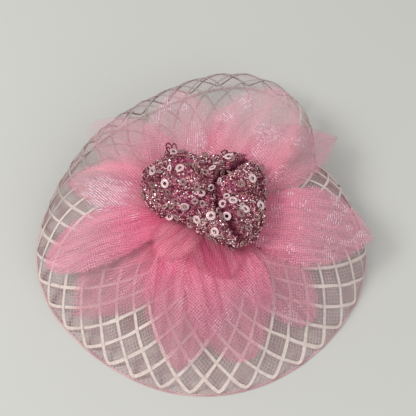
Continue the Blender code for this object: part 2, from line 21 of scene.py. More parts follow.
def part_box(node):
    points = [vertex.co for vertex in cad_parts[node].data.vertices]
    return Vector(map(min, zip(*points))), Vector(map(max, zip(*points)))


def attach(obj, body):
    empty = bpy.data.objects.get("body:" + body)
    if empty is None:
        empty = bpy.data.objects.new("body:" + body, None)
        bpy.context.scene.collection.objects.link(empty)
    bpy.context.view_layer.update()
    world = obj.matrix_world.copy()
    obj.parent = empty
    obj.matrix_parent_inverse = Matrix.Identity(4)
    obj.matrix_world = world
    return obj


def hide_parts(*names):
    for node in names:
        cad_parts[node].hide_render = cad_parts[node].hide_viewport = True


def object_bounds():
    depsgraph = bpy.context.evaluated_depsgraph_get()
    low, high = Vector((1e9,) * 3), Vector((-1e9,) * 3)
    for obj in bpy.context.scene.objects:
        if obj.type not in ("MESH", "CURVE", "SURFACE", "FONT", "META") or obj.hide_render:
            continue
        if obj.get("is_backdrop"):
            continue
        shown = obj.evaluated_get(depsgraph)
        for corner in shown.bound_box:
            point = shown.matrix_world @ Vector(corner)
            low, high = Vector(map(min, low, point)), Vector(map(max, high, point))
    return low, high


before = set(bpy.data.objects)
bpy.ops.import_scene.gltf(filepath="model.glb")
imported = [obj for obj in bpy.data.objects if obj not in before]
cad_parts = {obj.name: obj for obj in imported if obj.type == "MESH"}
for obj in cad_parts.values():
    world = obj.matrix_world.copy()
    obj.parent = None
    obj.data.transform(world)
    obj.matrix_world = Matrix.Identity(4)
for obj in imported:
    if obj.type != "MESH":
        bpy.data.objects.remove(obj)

CAD_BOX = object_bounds()
MM = 0.001
print("frame box in mm:", [[round(c / MM, 1) for c in corner] for corner in CAD_BOX])

# %% [markdown]
# ## Helpers
# Every soft piece starts as a bmesh, because its operators give clean grids, balls and rings.
# `as_mesh` keeps what a bmesh holds, `placed` puts an object at the origin of the scene, and
# `finished` does both for a piece whose place is in its mesh.


# %% Turn a bmesh into an object
def as_mesh(name, bm):
    mesh = bpy.data.meshes.new(name)
    bm.to_mesh(mesh)
    bm.free()
    return mesh


def placed(name, data):
    obj = bpy.data.objects.new(name, data)
    bpy.context.scene.collection.objects.link(obj)
    return obj


def finished(name, bm, look, smooth=True):
    mesh = as_mesh(name, bm)
    if smooth:
        mesh.shade_smooth()
    mesh.materials.append(look)
    print(f"{name}: {len(mesh.polygons)} faces")
    return placed(name, mesh)


# %% [markdown]
# ## Nodes for the materials
# A finish is a Principled shader with a few textures on its sockets. `Look` keeps its node tree
# short to write: `node` adds a node and feeds its inputs, and the methods below it add the kinds
# that come up again and again. Numbers that are the same all over stay on the shader itself.


# %% A small builder for node trees
class Look:
    def __init__(self, name, colour, roughness, metallic=0.0):
        self.material = bpy.data.materials.new(name)
        self.material.use_nodes = True
        self.tree = self.material.node_tree
        self.shader = self.tree.nodes["Principled BSDF"]
        self.set(Base_Color=(*colour, 1.0), Roughness=roughness, Metallic=metallic)

    def feed(self, socket, value):
        if isinstance(value, bpy.types.NodeSocket):
            self.tree.links.new(value, socket)
        else:
            socket.default_value = value

    def set(self, **values):
        for name, value in values.items():
            self.feed(self.shader.inputs[name.replace("_", " ")], value)

    def node(self, kind, inputs=None, **options):
        made = self.tree.nodes.new("ShaderNode" + kind)
        for name, value in options.items():
            setattr(made, name, value)
        for name, value in (inputs or {}).items():
            self.feed(made.inputs[name], value)
        return made

    def place(self, kind="Object", scale=(1, 1, 1), shift=(0, 0, 0), turn=0.0):
        inputs = {"Vector": self.node("TexCoord").outputs[kind], "Scale": scale}
        inputs.update(Location=shift, Rotation=(0, 0, turn))
        return self.node("Mapping", inputs).outputs["Vector"]

    def noise(self, scale, detail=3.0, vector=None):
        made = self.node("TexNoise", {"Scale": scale, "Detail": detail})
        self.feed(made.inputs["Vector"], vector or self.place())
        return made.outputs["Fac"]

    def mark(self, name):
        return self.node("Attribute", attribute_name=name).outputs["Fac"]

    def maths(self, operation, *values, clamp=False):
        made = self.node("Math", operation=operation, use_clamp=clamp)
        for socket, value in zip(made.inputs, values):
            self.feed(socket, value)
        return made.outputs[0]

    def less(self, value):
        """1 less that value."""
        return self.maths("SUBTRACT", 1.0, value)

    def times(self, first, *others):
        for other in others:
            first = self.maths("MULTIPLY", first, other)
        return first

    def remap(self, value, low, high, to_low=0.0, to_high=1.0):
        inputs = {"Value": value, "From Min": low, "From Max": high, "To Min": to_low, "To Max": to_high}
        return self.node("MapRange", inputs, interpolation_type="SMOOTHSTEP").outputs["Result"]

    def blend(self, factor, first, second, blend_type="MIX"):
        made = self.node("Mix", {"Factor": factor}, data_type="RGBA", blend_type=blend_type)
        for socket, value in ((made.inputs[6], first), (made.inputs[7], second)):
            self.feed(socket, value if isinstance(value, bpy.types.NodeSocket) else (*value, 1.0))
        return made.outputs[2]

    def bump(self, height, distance, strength=1.0):
        inputs = {"Height": height, "Distance": distance, "Strength": strength}
        self.set(Normal=self.node("Bump", inputs).outputs["Normal"])


# %% [markdown]
# ## The shape of the crin saucer
# Crin is a stiff woven braid. Its inner edge is drawn up on a cord, so the flat strip closes into
# a saucer: it climbs out of the gathers, rolls over a shoulder and falls to a free edge. At the
# front it spreads flat, at the back it rolls right under. One curve, which changes slowly round
# the flower, gives all of that, and every thread, ribbon and petal is laid on it.

# %% Sizes of the saucer, from the frame where it has them
GAP = 0.3 * MM
GATHER_RADIUS = 8 * MM
GATHER_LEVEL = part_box("felt_pad")[1].z + GAP
RIM_RADIUS, RIM_LEVEL = 78.3 * MM, -13 * MM
RIM_WAVES = (  # turns round the rim, height in mm, phase
    (1, 1.0, -1.69), (2, 2.1, -2.35), (3, 3.4, 2.38), (4, 2.1, 1.05), (5, 1.4, 0.65), (6, 0.6, -0.77),
)
CROWN_RADIUS, CROWN_LEVEL = 36 * MM, 22.5 * MM
SHOULDER_OUT, SHOULDER_UP = 4 * MM, 7 * MM
SHOULDER_DRAW, SHOULDER_DROP = 28 * MM, 23.5 * MM
NOTCH_ANGLE, NOTCH_SPREAD, NOTCH_DEPTH = math.radians(34), math.radians(10), 7 * MM
SLOPE_STEP = 0.01


# %% The curve from the gathers to the edge
def flare(theta):
    return 0.5 - 0.5 * math.sin(theta)


def rim_radius(theta):
    wave = sum(height * MM * math.cos(turns * theta + phase) for turns, height, phase in RIM_WAVES)
    off = math.remainder(theta - NOTCH_ANGLE, 2 * math.pi) / NOTCH_SPREAD
    return RIM_RADIUS + wave - NOTCH_DEPTH * math.exp(-off * off)


def braid_line(t, theta):
    """(radius, height) of the braid's underside, t of the way from the gathers to the edge."""
    rim, spread = rim_radius(theta), flare(theta)
    stops = (
        (GATHER_RADIUS, GATHER_LEVEL),
        (CROWN_RADIUS, CROWN_LEVEL),
        (rim + SHOULDER_OUT - SHOULDER_DRAW * spread, CROWN_LEVEL + SHOULDER_UP - SHOULDER_DROP * spread),
        (rim, RIM_LEVEL),
    )
    shares = ((1 - t) ** 3, 3 * t * (1 - t) ** 2, 3 * t * t * (1 - t), t**3)
    return tuple(sum(k * stop[axis] for k, stop in zip(shares, stops)) for axis in (0, 1))


def braid_frame(theta, t):
    """The point on the braid's underside, and the direction that points away from the head."""
    radius, level = braid_line(t, theta)
    near, far = braid_line(t - SLOPE_STEP, theta), braid_line(t + SLOPE_STEP, theta)
    away = Vector((near[1] - far[1], far[0] - near[0])).normalized()
    cos, sin = math.cos(theta), math.sin(theta)
    return Vector((radius * cos, radius * sin, level)), Vector((away.x * cos, away.x * sin, away.y))


def braid_point(theta, t, lift):
    point, normal = braid_frame(theta, t)
    return point + normal * lift


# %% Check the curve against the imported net
net_skin = BVHTree.FromObject(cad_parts["crin_net"], bpy.context.evaluated_depsgraph_get())
off = [net_skin.find_nearest(braid_point(a / 4, t / 20, 0))[3] for a in range(25) for t in range(21)]
print("the curve lies within", round(max(off) / MM, 2), "mm of the packed net")

# %% [markdown]
# ## The net
# The braid's ground is a net of fine pink monofilament. It is woven on the bias, so its two sets
# of threads run slantwise and cross one another. A curve object with a bevel is the natural tool:
# each thread is one spline, and the bevel gives it a round section of few faces. Columns and rows
# count the diamonds that the ribbons make, and the net has six meshes to the side of a diamond.

# %% Counting along and across the braid
COLUMNS, ROWS, THREADS = 36, 11, 6
SELVEDGE = 0.9 * MM  # net left outside the last row
NET_THICKNESS = 0.5 * MM
WIDTH_STEPS = 24
stations = [braid_line(i / WIDTH_STEPS, -math.pi / 2) for i in range(WIDTH_STEPS + 1)]
BRAID_WIDTH = sum(math.dist(a, b) for a, b in zip(stations, stations[1:]))
ROW_SHARE = (1 - SELVEDGE / BRAID_WIDTH) / ROWS
SWAY = 0.016  # how far real weaving strays round the flower, in radians
SWAYS = ((2.6, 3, 1.0), (9, 5, 0.5))  # how closely it does, round and along the braid, and its share
print("braid width in mm:", round(BRAID_WIDTH / MM, 1), " row:", round(ROW_SHARE * BRAID_WIDTH / MM, 2))


def lattice_frame(column, row):
    """Where that column and row of the braid lies, and the direction away from the head."""
    t = row * ROW_SHARE
    theta = column * 2 * math.pi / COLUMNS
    sway = sum(
        share * noise.noise(Vector((close * math.cos(theta), close * math.sin(theta), along * t)))
        for close, along, share in SWAYS
    )
    return braid_frame(theta + SWAY * sway * t, min(t, 1.0))


# %% Thread curves
THREAD_RADIUS = 0.115 * MM
THREAD_BACK = 0.4  # at the back the threads are drawn finer, to that share
THREAD_APART = 0.8  # warp and weft lie that share of a radius above and below the middle
THREAD_START = 0.1  # of the way from the gathers
THREAD_STEPS = 30


def thread_line(data, points, back_share=1.0):
    """One thread through those points, thinned to that share of its size where it reaches the back."""
    line = data.splines.new("POLY")
    line.points.add(len(points) - 1)
    for slot, point in zip(line.points, points):
        slot.co = (*point, 1)
        slot.radius = 1 - (1 - back_share) * max(point.y / RIM_RADIUS, 0.0)


def thread_curve(name, radius, look, resolution=0):
    data = bpy.data.curves.new(name, "CURVE")
    data.dimensions = "3D"
    data.bevel_depth = radius
    data.bevel_resolution = resolution
    data.use_fill_caps = True
    data.materials.append(look)
    return placed(name, data)


def net_threads(name, lean, look):
    """One of the net's two sets of threads. They lie a hair apart, as warp and weft do."""
    obj = thread_curve(name, THREAD_RADIUS, look)
    shares = [THREAD_START + (1 - THREAD_START) * i / THREAD_STEPS for i in range(THREAD_STEPS + 1)]
    rows = [1 / ROW_SHARE * share for share in shares]
    lift = NET_THICKNESS / 2 + lean * THREAD_RADIUS * THREAD_APART
    for k in range(COLUMNS * THREADS):
        if k % THREADS == 0:
            continue  # a ribbon runs there
        points = []
        for row in rows:
            point, normal = lattice_frame(k / THREADS + lean * row / 2, row)
            points.append(point + normal * lift)
        thread_line(obj.data, points, THREAD_BACK)
    print(name, len(obj.data.splines), "threads")
    return obj


# %% [markdown]
# Monofilament is clear nylon with a little dye: pink where it gathers, almost white where light
# catches it. A slow noise along the braid varies the tint. Towards the back left, threads and
# ribbons alike get a darker, browner colour: a painted shade.

# %% Where shade is painted on the braid
SHADE_TOWARDS = math.radians(120)
SHADE_FROM, SHADE_TO = 30 * MM, 52 * MM


def back_left_shade(look, most):
    """The share of painted shade: 0 over much of the braid, rising to the most at its back left."""
    turned = look.node("SeparateXYZ", {"Vector": look.place(turn=-SHADE_TOWARDS)})
    return look.remap(turned.outputs["X"], SHADE_FROM, SHADE_TO, 0.0, most)


# %% The net's finish and its threads
net_look = Look("crin monofilament", (0.74, 0.46, 0.48), 0.32)
net_tint = net_look.remap(net_look.noise(90.0), 0.3, 0.7)
net_colour = net_look.blend(net_tint, (0.66, 0.32, 0.36), (0.84, 0.56, 0.57))
# painted shade: the threads turn browner towards the back left
net_look.set(
    Base_Color=net_look.blend(back_left_shade(net_look, 0.5), net_colour, (0.48, 0.36, 0.34)),
    Specular_IOR_Level=0.6,
)
warp = net_threads("net_warp", 1, net_look.material)
weft = net_threads("net_weft", -1, net_look.material)

# %% The two threads that finish the free edge
EDGE_STEPS, EDGE_RADIUS = 240, 0.16 * MM
EDGES = ((1.0, 0.25 * MM), (0.992, 0.35 * MM))  # how far out each runs, and its lift
edge = thread_curve("net_selvedge", EDGE_RADIUS, net_look.material, resolution=1)
for share, lift in EDGES:
    ring = [braid_point(i * 2 * math.pi / EDGE_STEPS, share, lift) for i in range(EDGE_STEPS)]
    thread_line(edge.data, ring)
    edge.data.splines[-1].use_cyclic_u = True

# %% [markdown]
# ## The ribbons
# Flat cream ribbons are woven through the net, eleven rows of diamonds deep. Each one runs out
# from the gathers, turns back in a rounded V just inside the edge and returns. A ribbon starts as
# a narrow grid: its long direction follows that path and its short one lies across it, flat on
# the braid. Where two ribbons cross, one rises over the other, turn and turn about.

# %% Path of a ribbon through the lattice
RIBBON_WIDTH, RIBBON_THICKNESS = 1.6 * MM, 0.14 * MM
ROOT_WIDTH, WIDENING = 0.55, 0.45  # the share it has at the gathers, and what it gains on its way out
BACK_WIDTH = 0.7  # the back ones are drawn narrower, to that share
UNEVEN_WIDTH = ((110, 0.3), (420, 0.12))  # how closely the width changes, and by what share
RIBBON_LIFT = NET_THICKNESS + 0.35 * MM
RIBBON_WEAVE = 0.14 * MM
RIBBON_STEPS = 76
CROWDING = 1.35  # more of the steps lie near the turn, where the path bends
TURN = 0.12  # roundness of the V, in columns
FIRST_ROW = 1.2
LOOK_AHEAD = 0.01  # in columns, for the direction of the path
TWIST_CLOSENESS, TWIST = 70, 0.5
STRAY = ((60, 0.35 * MM), (190, 0.16 * MM))  # how closely a ribbon sways to and fro, and how far


def ribbon_row(offset):
    return ROWS + TURN - 2 * math.hypot(offset, TURN)


def ribbon_place(column, offset):
    row = ribbon_row(offset)
    point, normal = lattice_frame(column + offset, row)
    over = math.cos(math.pi * (ROWS - row)) * (1 if offset > 0 else -1)
    near_turn = min(abs(offset) / 0.5, 1.0)
    return point + normal * (RIBBON_LIFT + RIBBON_WEAVE * over * near_turn), normal


def crin_ribbons(look):
    bm = bmesh.new()
    bm.loops.layers.uv.new("UVMap")
    reach = math.sqrt(((ROWS + TURN - FIRST_ROW) / 2) ** 2 - TURN**2)
    for column in range(COLUMNS):
        strip = bmesh.ops.create_grid(bm, x_segments=RIBBON_STEPS, y_segments=2, size=1, calc_uvs=True)
        for v in strip["verts"]:
            offset = reach * math.copysign(abs(v.co.x) ** CROWDING, v.co.x)
            here, normal = ribbon_place(column + 0.5, offset)
            ahead = ribbon_place(column + 0.5, offset + LOOK_AHEAD)[0]
            side = normal.cross(ahead - here).normalized()
            width = RIBBON_WIDTH * (ROOT_WIDTH + WIDENING * ribbon_row(offset) / ROWS)
            width *= 1 - (1 - BACK_WIDTH) * max(here.y / RIM_RADIUS, 0.0)
            width *= sum((share * noise.noise(here * closeness) for closeness, share in UNEVEN_WIDTH), 1)
            own = Vector((column, 0, 0))
            twist = TWIST * noise.noise(here * TWIST_CLOSENESS + own)
            lean = side * math.cos(twist) + normal * math.sin(twist)
            stray = sum(far * noise.noise(here * closeness + own) for closeness, far in STRAY)
            v.co = here + side * stray + lean * (v.co.y * width / 2)
    bmesh.ops.recalc_face_normals(bm, faces=bm.faces)
    for e in bm.edges:
        e.smooth = not e.is_boundary
    obj = finished("crin_ribbon_lattice", bm, look)
    wall = obj.modifiers.new("thickness", "SOLIDIFY")
    wall.thickness = RIBBON_THICKNESS
    wall.offset = -1
    return obj


# %% [markdown]
# The ribbon is a flat synthetic straw with fine ribs along its length. Its own UV map carries the
# ribs: V runs across the ribbon. Along it, a noise breaks up the gloss as a real ribbon's does.

# %% The ribbons' finish
ribbon_look = Look("crin ribbon", (0.78, 0.67, 0.61), 0.38)
ribs = ribbon_look.node(
    "TexWave",
    {"Vector": ribbon_look.place("UV"), "Scale": 1.6, "Distortion": 0.6, "Detail Scale": 3.0},
    bands_direction="Y",
).outputs["Fac"]
straw = ribbon_look.noise(700.0, 2.0)
ribbon_tone = ribbon_look.maths("MULTIPLY_ADD", ribs, 0.35, ribbon_look.times(straw, 0.65))
fibre = ribbon_look.remap(ribbon_tone, 0.3, 0.75)
cream = ribbon_look.blend(fibre, (0.58, 0.45, 0.41), (0.80, 0.70, 0.64))
# painted shade: the ribbons turn a darker taupe towards the back left
ribbon_look.set(
    Base_Color=ribbon_look.blend(back_left_shade(ribbon_look, 0.85), cream, (0.34, 0.26, 0.235)),
    Roughness=ribbon_look.remap(straw, 0.3, 0.7, 0.28, 0.5),
    Sheen_Weight=0.2,
)
ribbon_look.bump(ribbon_tone, 0.12 * MM, 0.6)
ribbons = crin_ribbons(ribbon_look.material)

# %% [markdown]
# ## The petals
# Each petal is a leaf of sheer plain-weave fabric, gathered at its root round the core and pressed
# into lengthwise creases. The petals fan apart towards their tips. A petal is a fine grid: its long
# direction runs from root to tip and its short one across. Its UV map is in millimetres of flat
# cloth, so the weave closes up where the cloth is gathered, as it really does.

# %% Where the bed of the petals lies
CORE_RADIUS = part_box("flower_core")[1].x
BRAID_STACK = NET_THICKNESS + GAP + 0.4 * MM
BED_CLEARANCE = 1.1 * MM
LAYER_PITCH, FAN = 1.0 * MM, 2.6
PLEAT_LIFT = 0.8 * MM
PLEATS = ((3.2, 0.9 * MM), (8.0, 0.5 * MM))  # how closely folds follow one another, and their height
PLEAT_DRIFT = 0.15  # radians that a fold strays on its way out
LEAVE_SLOPE = -math.tan(math.radians(34))
BED_STEPS = 48


@lru_cache(maxsize=None)
def bed_profile(degree):
    """Points on top of the ribbons in that direction, out to where the braid falls away."""
    theta = math.radians(degree)
    points = []
    for i in range(BED_STEPS + 1):
        point = braid_point(theta, i / BED_STEPS, BRAID_STACK)
        here = (math.hypot(point.x, point.y), point.z)
        if points and (here[1] - points[-1][1]) < LEAVE_SLOPE * max(here[0] - points[-1][0], 1e-9):
            break
        points.append(here)
    return points


def bed_along(degree, radius):
    points = bed_profile(degree % 360)
    for (r0, z0), (r1, z1) in zip(points, points[1:]):
        if radius <= r1:
            return z0 + (z1 - z0) * (radius - r0) / (r1 - r0)
    return points[-1][1] + LEAVE_SLOPE * (radius - points[-1][0])


def bed_level(radius, theta):
    degrees = math.degrees(theta)
    low = math.floor(degrees)
    share = degrees - low
    return (1 - share) * bed_along(low, radius) + share * bed_along(low + 1, radius)


def layer_level(radius, theta, layer):
    out = radius / RIM_RADIUS
    fanned = layer * LAYER_PITCH * (1 + (FAN - 1) * out * out)
    share = min(out, 1.0)
    drift = theta + PLEAT_DRIFT * share
    pleat = sum(
        height * noise.noise(Vector((folds * math.cos(drift), folds * math.sin(drift), share)))
        for folds, height in PLEATS
    )
    return bed_level(radius, theta) + BED_CLEARANCE + fanned + share * (PLEAT_LIFT + pleat)


# %% The petals, with their places round the flower
# angle in degrees, and reach, width, bend, tip and curl in millimetres; belly over 1 puts the
# widest place nearer the tip, and blunt under 1 rounds the tip; bend: how far the tip lies aside;
# tip, curl: how far the tip and the right edge rise
Petal = namedtuple("Petal", "name angle reach width belly blunt layer bend tip curl", defaults=(0, 0, 0))
PETALS = (
    Petal("petal_left_under", 214, 75, 42, 1.1, 0.9, 0, 3),
    Petal("petal_right_under", 317, 69, 34, 1.3, 0.5, 0, -1),
    Petal("petal_back_right_under", 36, 81, 32, 1.1, 1, 0, 0, 3),
    Petal("petal_back_left_under", 136, 77, 34, 1.1, 0.7, 0, 2, 2),
    Petal("petal_front_left", 258, 72, 40, 1.15, 0.8, 1, 3),
    Petal("petal_right", 347, 80, 42, 1.35, 0.9, 1, 11, 2),
    Petal("petal_back", 107, 63, 48, 1.1, 0.6, 1, -5, 3),
    Petal("petal_front_right", 286, 70, 40, 1.3, 0.5, 2, -1),
    Petal("petal_back_right", 56, 73, 50, 1.15, 0.5, 2, 2, 3, 7),
    Petal("petal_back_left", 166, 67, 30, 1.1, 0.6, 2, 1, 1, 4),
    Petal("petal_left", 196, 76, 28, 1.6, 0.45, 3, 2),
    Petal("petal_inner_front", 288, 37, 31, 1.1, 0.7, 3, 0, 1),
    Petal("petal_inner_left", 230, 34, 25, 1.1, 0.8, 4),
)
PETAL_ALONG, PETAL_ACROSS = 96, 56
FABRIC = 0.5 * MM
ROOT = CORE_RADIUS + GAP
ROOT_HALF = CORE_RADIUS / 2
GATHERS, GATHERS_END = 0.85, 0.55  # flat width at the root, and how far out the gathers reach
RAGGED = ((7, 1, 0.045), (31, 3, 0.03))  # how closely an edge wavers, along and across, and how much
CURL = 1.3  # a curl is fullest two thirds of the way out, at three quarters of its height


def petal_half(p, share):
    swell = math.sin(math.pi * share**p.belly) ** (1 - (1 - p.blunt) * share) if share < 1 else 0.0
    return ROOT_HALF * (1 - share) + (p.width * MM - ROOT_HALF) / 2 * swell


def cut_half(p, share):
    """Half the width of the flat cloth there. It is cut wide at the root, and gathers draw it in."""
    drawn = max(1 - share / GATHERS_END, 0.0) ** 2
    half = petal_half(p, share)
    return half + (GATHERS * p.width * MM / 2 - half) * drawn


# %% Creases of the cloth
# of each kind: the height, how closely they follow one another across and along, and a seed
BROAD, FINE, FLUTTER = (0.8 * MM, 2.4, 0.9, 0), (0.3 * MM, 7.5, 1.6, 9), (1.2 * MM, 1.3, 4.0, 21)
SEED_STEP = 0.37  # between petals, for each degree between them
OPENING = 3


def crease(kind, p, share, side):
    height, across, along, seed = kind
    return height * noise.noise(Vector((side * across, share * along, p.angle * SEED_STEP + seed)))


def crumple(p, share, side):
    """Creases run out from the gathers. They start fine and open towards the edge, which flutters."""
    pressed = (0.3 + 0.7 * share) * (crease(BROAD, p, share, side) + crease(FINE, p, share, side))
    return min(share * OPENING, 1.0) * (pressed + crease(FLUTTER, p, share, side) * share**4)


def petal_place(p, share, side):
    """The point that far along the petal, and that far from its middle line towards its edge."""
    angle = math.radians(p.angle)
    along = Vector((math.cos(angle), math.sin(angle), 0))
    aside = Vector((-along.y, along.x, 0))
    ragged = sum(
        depth * noise.noise(Vector((share * closeness, edge * side, p.angle)))
        for closeness, edge, depth in RAGGED
    )
    across = side * petal_half(p, share) * (1 + ragged)
    inset = ROOT - math.sqrt(max(ROOT * ROOT - across * across, 0))
    out = ROOT + share * (p.reach * MM - ROOT) - inset * (1 - share) ** 3
    point = along * out + aside * (across + p.bend * MM * share * share)
    level = layer_level(point.length, math.atan2(point.y, point.x), p.layer)
    curl = p.curl * max(-side, 0) ** 3 * (CURL * share * math.sin(math.pi * share))
    point.z = level + FABRIC / 2 + (curl + p.tip * share**3) * MM + crumple(p, share, side)
    return point


SAME_PLACE = 0.002 * MM


def petal(p, look):
    bm = bmesh.new()
    uv = bm.loops.layers.uv.new("UVMap")
    bmesh.ops.create_grid(bm, x_segments=PETAL_ALONG, y_segments=PETAL_ACROSS, size=0.5)
    inside = bm.verts.layers.float.new("inside")
    sideways = bm.verts.layers.float.new("side")
    for face in bm.faces:
        for loop in face.loops:
            share, side = loop.vert.co.x + 0.5, loop.vert.co.y * 2
            loop[uv].uv = (share * p.reach, side * cut_half(p, share) / MM)
    for v in bm.verts:
        share, side = v.co.x + 0.5, v.co.y * 2
        v[inside] = (1 - abs(side)) * petal_half(p, share) / MM
        v[sideways] = side
        v.co = petal_place(p, share, side)
    bmesh.ops.remove_doubles(bm, verts=bm.verts, dist=SAME_PLACE)
    return finished(p.name + "_cloth", bm, look)


# %% [markdown]
# ## Sheer fabric
# The fabric is a soft plain-weave net, used double, with its edges left raw. Two waves in the UV
# map are the warp and the weft, and a second pair, turned a little, is the layer underneath: where
# both show, they make the moire that doubled net has. Threads are nearly solid and you see through
# the holes. The attribute `inside` says how far a point lies from the cut edge, in millimetres, so
# that the edge can fray and the second layer can end a little further in. `side` runs from -1 at
# a petal's right edge to 1 at its left one.

# %% The dyes, and the cloth of each petal
SOFT, RICH = Vector((0.72, 0.36, 0.415)), Vector((0.60, 0.15, 0.245))
# On the next line: the deep dye of the root, a painted highlight for the pleats, and the painted highlight
# of glints on the threads.
DEEP, PLEAT_HIGHLIGHT, GLINT = Vector((0.84, 0.12, 0.25)), (0.80, 0.44, 0.48), (0.92, 0.80, 0.90)
TURNED = (0.84, 0.28, 0.36)  # where an edge is turned over
HOLLOW = (0.62, 0.45, 0.52)  # the shade between threads, which multiplies the colour
# root, tip: how much it covers there; turn: of the weave, in degrees; rich: depth of the dye;
# fray, thin: depth of the raw edge, and of the band where the cloth thins out, in millimetres;
# glitter, strokes: the share with painted glints, along or across the petal; turned: how full
# and deep its right edge is, turned over; patches: how closely patches of painted glints follow
# one another
CLOTH_FIELDS = "root tip turn rich fray thin glitter strokes turned patches"
Cloth = namedtuple("Cloth", CLOTH_FIELDS, defaults=(0.0, "along", 0.0, 0.07))
CLOTHS = {
    "petal_left_under": Cloth(0.75, 0.42, 12, 0.8, 0.8, 0.5),
    "petal_right_under": Cloth(0.80, 0.45, 38, 0.7, 1.0, 0.5, 0.1),
    "petal_back_right_under": Cloth(0.75, 0.56, 20, 0.3, 0.3, 0.4),
    "petal_back_left_under": Cloth(0.92, 0.26, -15, 0.1, 0.8, 1.5, 0.1),
    "petal_front_left": Cloth(0.92, 0.44, 40, 1.0, 1.0, 0.5, 0.1),
    "petal_right": Cloth(0.97, 0.68, -6, 0.45, 1.6, 1.2, 0.55, "across", patches=0.15),
    "petal_back": Cloth(0.92, 0.34, 10, 0.1, 1.6, 6.0, 0.6),
    "petal_front_right": Cloth(0.94, 0.42, -35, 0.8, 0.8, 0.5, 0.1, "across"),
    "petal_back_right": Cloth(0.92, 0.40, 8, 0.0, 1.4, 7.0, 0.5, "across", 0.4),
    "petal_back_left": Cloth(1.15, 0.52, 28, 0.5, 1.0, 4.0, 1.5, turned=0.8),
    "petal_left": Cloth(1.0, 0.84, 5, 0.65, 1.0, 0.8, 0.4),
    "petal_inner_front": Cloth(1.0, 0.85, 15, 1.0, 0.4, 5.0),
    "petal_inner_left": Cloth(0.96, 0.70, 0, 0.7, 0.4, 6.0),
}
# one whole patch of painted glints: how far out it starts and ends, and the line that it lies to the right
# of
WHOLE_GLINT_PATCH = {"petal_back_left": (0.46, 0.86, -0.30)}
SCOOP = {"petal_inner_front": (0.56, 0.085, 0.17), "petal_inner_left": (0.88, 0.21, 0.32)}  # deeper ones


# %% The flat cloth of one petal
class Fabric(Look):
    """The finish of one petal, with the places and shares on its flat cloth that its patterns use."""

    def __init__(self, p):
        self.petal, self.cloth = p, CLOTHS[p.name]
        self.pale = tuple(SOFT.lerp(RICH, self.cloth.rich))
        super().__init__(f"sheer fabric of {p.name}", self.pale, 0.5)
        along = self.node("SeparateXYZ", {"Vector": self.place("UV")}).outputs["X"]
        self.out = self.maths("DIVIDE", along, p.reach, clamp=True)
        self.inside, self.side = self.mark("inside"), self.mark("side")
        self.gathered = self.remap(self.out, 0.15, 0.65, 1.0, 0.0)
        self.pleat = self.remap(self.streaks(0.02, 0.17), 0.3, 0.7)
        self.turned = self.times(self.remap(self.side, -0.42, -0.72), self.cloth.turned)
        self.wander = self.vectors("ADD", {0: self.uneven(0.05, 5.0), 1: self.uneven(0.45, 0.7)})

    def vectors(self, operation, inputs):
        return self.node("VectorMath", inputs, operation=operation).outputs["Vector"]

    def streaks(self, along, across, layer=0.0):
        return self.noise(1.0, 1.0, self.place("UV", (along, across, 1), (self.petal.angle, 0, layer)))

    def uneven(self, closeness, amount):
        """Shifts to and fro, so that no two threads run quite side by side."""
        flat = self.place("UV", shift=(self.petal.angle, 0, 0))
        made = self.node("TexNoise", {"Vector": flat, "Scale": closeness, "Detail": 1.0})
        return self.vectors("SCALE", {0: made.outputs["Color"], "Scale": amount})

    def weave(self, turn):
        """Millimetres along and across threads that are turned that many degrees."""
        return self.vectors("ADD", {0: self.place("UV", turn=math.radians(turn)), 1: self.wander})


# %% [markdown]
# How solid the cloth looks is set in two steps. The first is how much its threads cover: more at
# the root, in the folds and on a turned edge, less where they are slack. The second cuts the
# holes, in each of the two layers, and the raw edge.

# %% How much the cloth covers
def covered(look):
    slack = look.remap(look.streaks(1.15, 1.15), 0.3, 0.7, 0.66, 1.22)
    folds = look.remap(look.streaks(0.1, 0.35), 0.3, 0.7, 0.82, 1.14)
    cover = look.remap(look.out, 0.2, 0.9, look.cloth.root, look.cloth.tip)
    cover = look.maths("ADD", cover, look.maths("MULTIPLY_ADD", look.pleat, 0.2, -0.1))
    return look.maths("MULTIPLY_ADD", look.turned, 0.3, look.times(cover, slack, folds))


# %% The two layers of net and their edge
WEAVE = 1.05  # millimetres from thread to thread
UNDER_TURN, UNDER_WEAVE, UNDER_COVER = 11, 1.07, 0.8  # of the lower layer, against the upper one


def net_layer(look, turn, pitch, cover):
    """How solid one layer of net is, its threads along and across, and the nearest of them: a
    wave is 1 on a thread and -1 between threads."""
    split = look.node("SeparateXYZ", {"Vector": look.weave(turn)})
    threads = {
        run: look.maths("SINE", look.times(split.outputs[axis], 2 * math.pi / pitch))
        for run, axis in (("along", "Y"), ("across", "X"))
    }
    nearest = look.maths("MAXIMUM", threads["along"], threads["across"])
    haze = look.maths("MULTIPLY_ADD", look.gathered, 0.5, 0.14)  # gathers close the holes
    return look.times(look.remap(nearest, -0.1, 0.55, haze, 1.0), cover), threads, nearest


def doubled(look):
    """How solid the cloth is in all, and the threads of its upper layer."""
    turn, cover = look.cloth.turn, covered(look)
    upper, threads, nearest = net_layer(look, turn, WEAVE, cover)
    under_cover = look.times(cover, UNDER_COVER)
    lower, _, _ = net_layer(look, turn + UNDER_TURN, WEAVE * UNDER_WEAVE, under_cover)
    ends = look.maths("MULTIPLY_ADD", look.streaks(0.16, 0.16), 7.0, look.inside)
    lower = look.times(lower, look.remap(ends, 5.6, 7.0))
    holes = look.times(look.less(upper), look.less(lower))
    fibres = look.remap(look.streaks(1.3, 0.3), 0.3, 0.7)
    frayed = look.maths("MULTIPLY_ADD", fibres, -look.cloth.fray, look.inside)
    return look.times(look.less(holes), look.remap(frayed, -0.6, look.cloth.thin)), threads, nearest


# %% [markdown]
# Glints are painted highlights: short pale strokes painted on the threads, in a few patches, and
# single sparks painted where a crossing of two threads catches the light.

# %% Painted glints and sparks
STROKES = {"along": (0.8, 1.9), "across": (1.9, 0.6)}
LONG_STROKES, LONG_SLACK = (0.35, 1.9), 0.08  # of a whole patch of painted glints
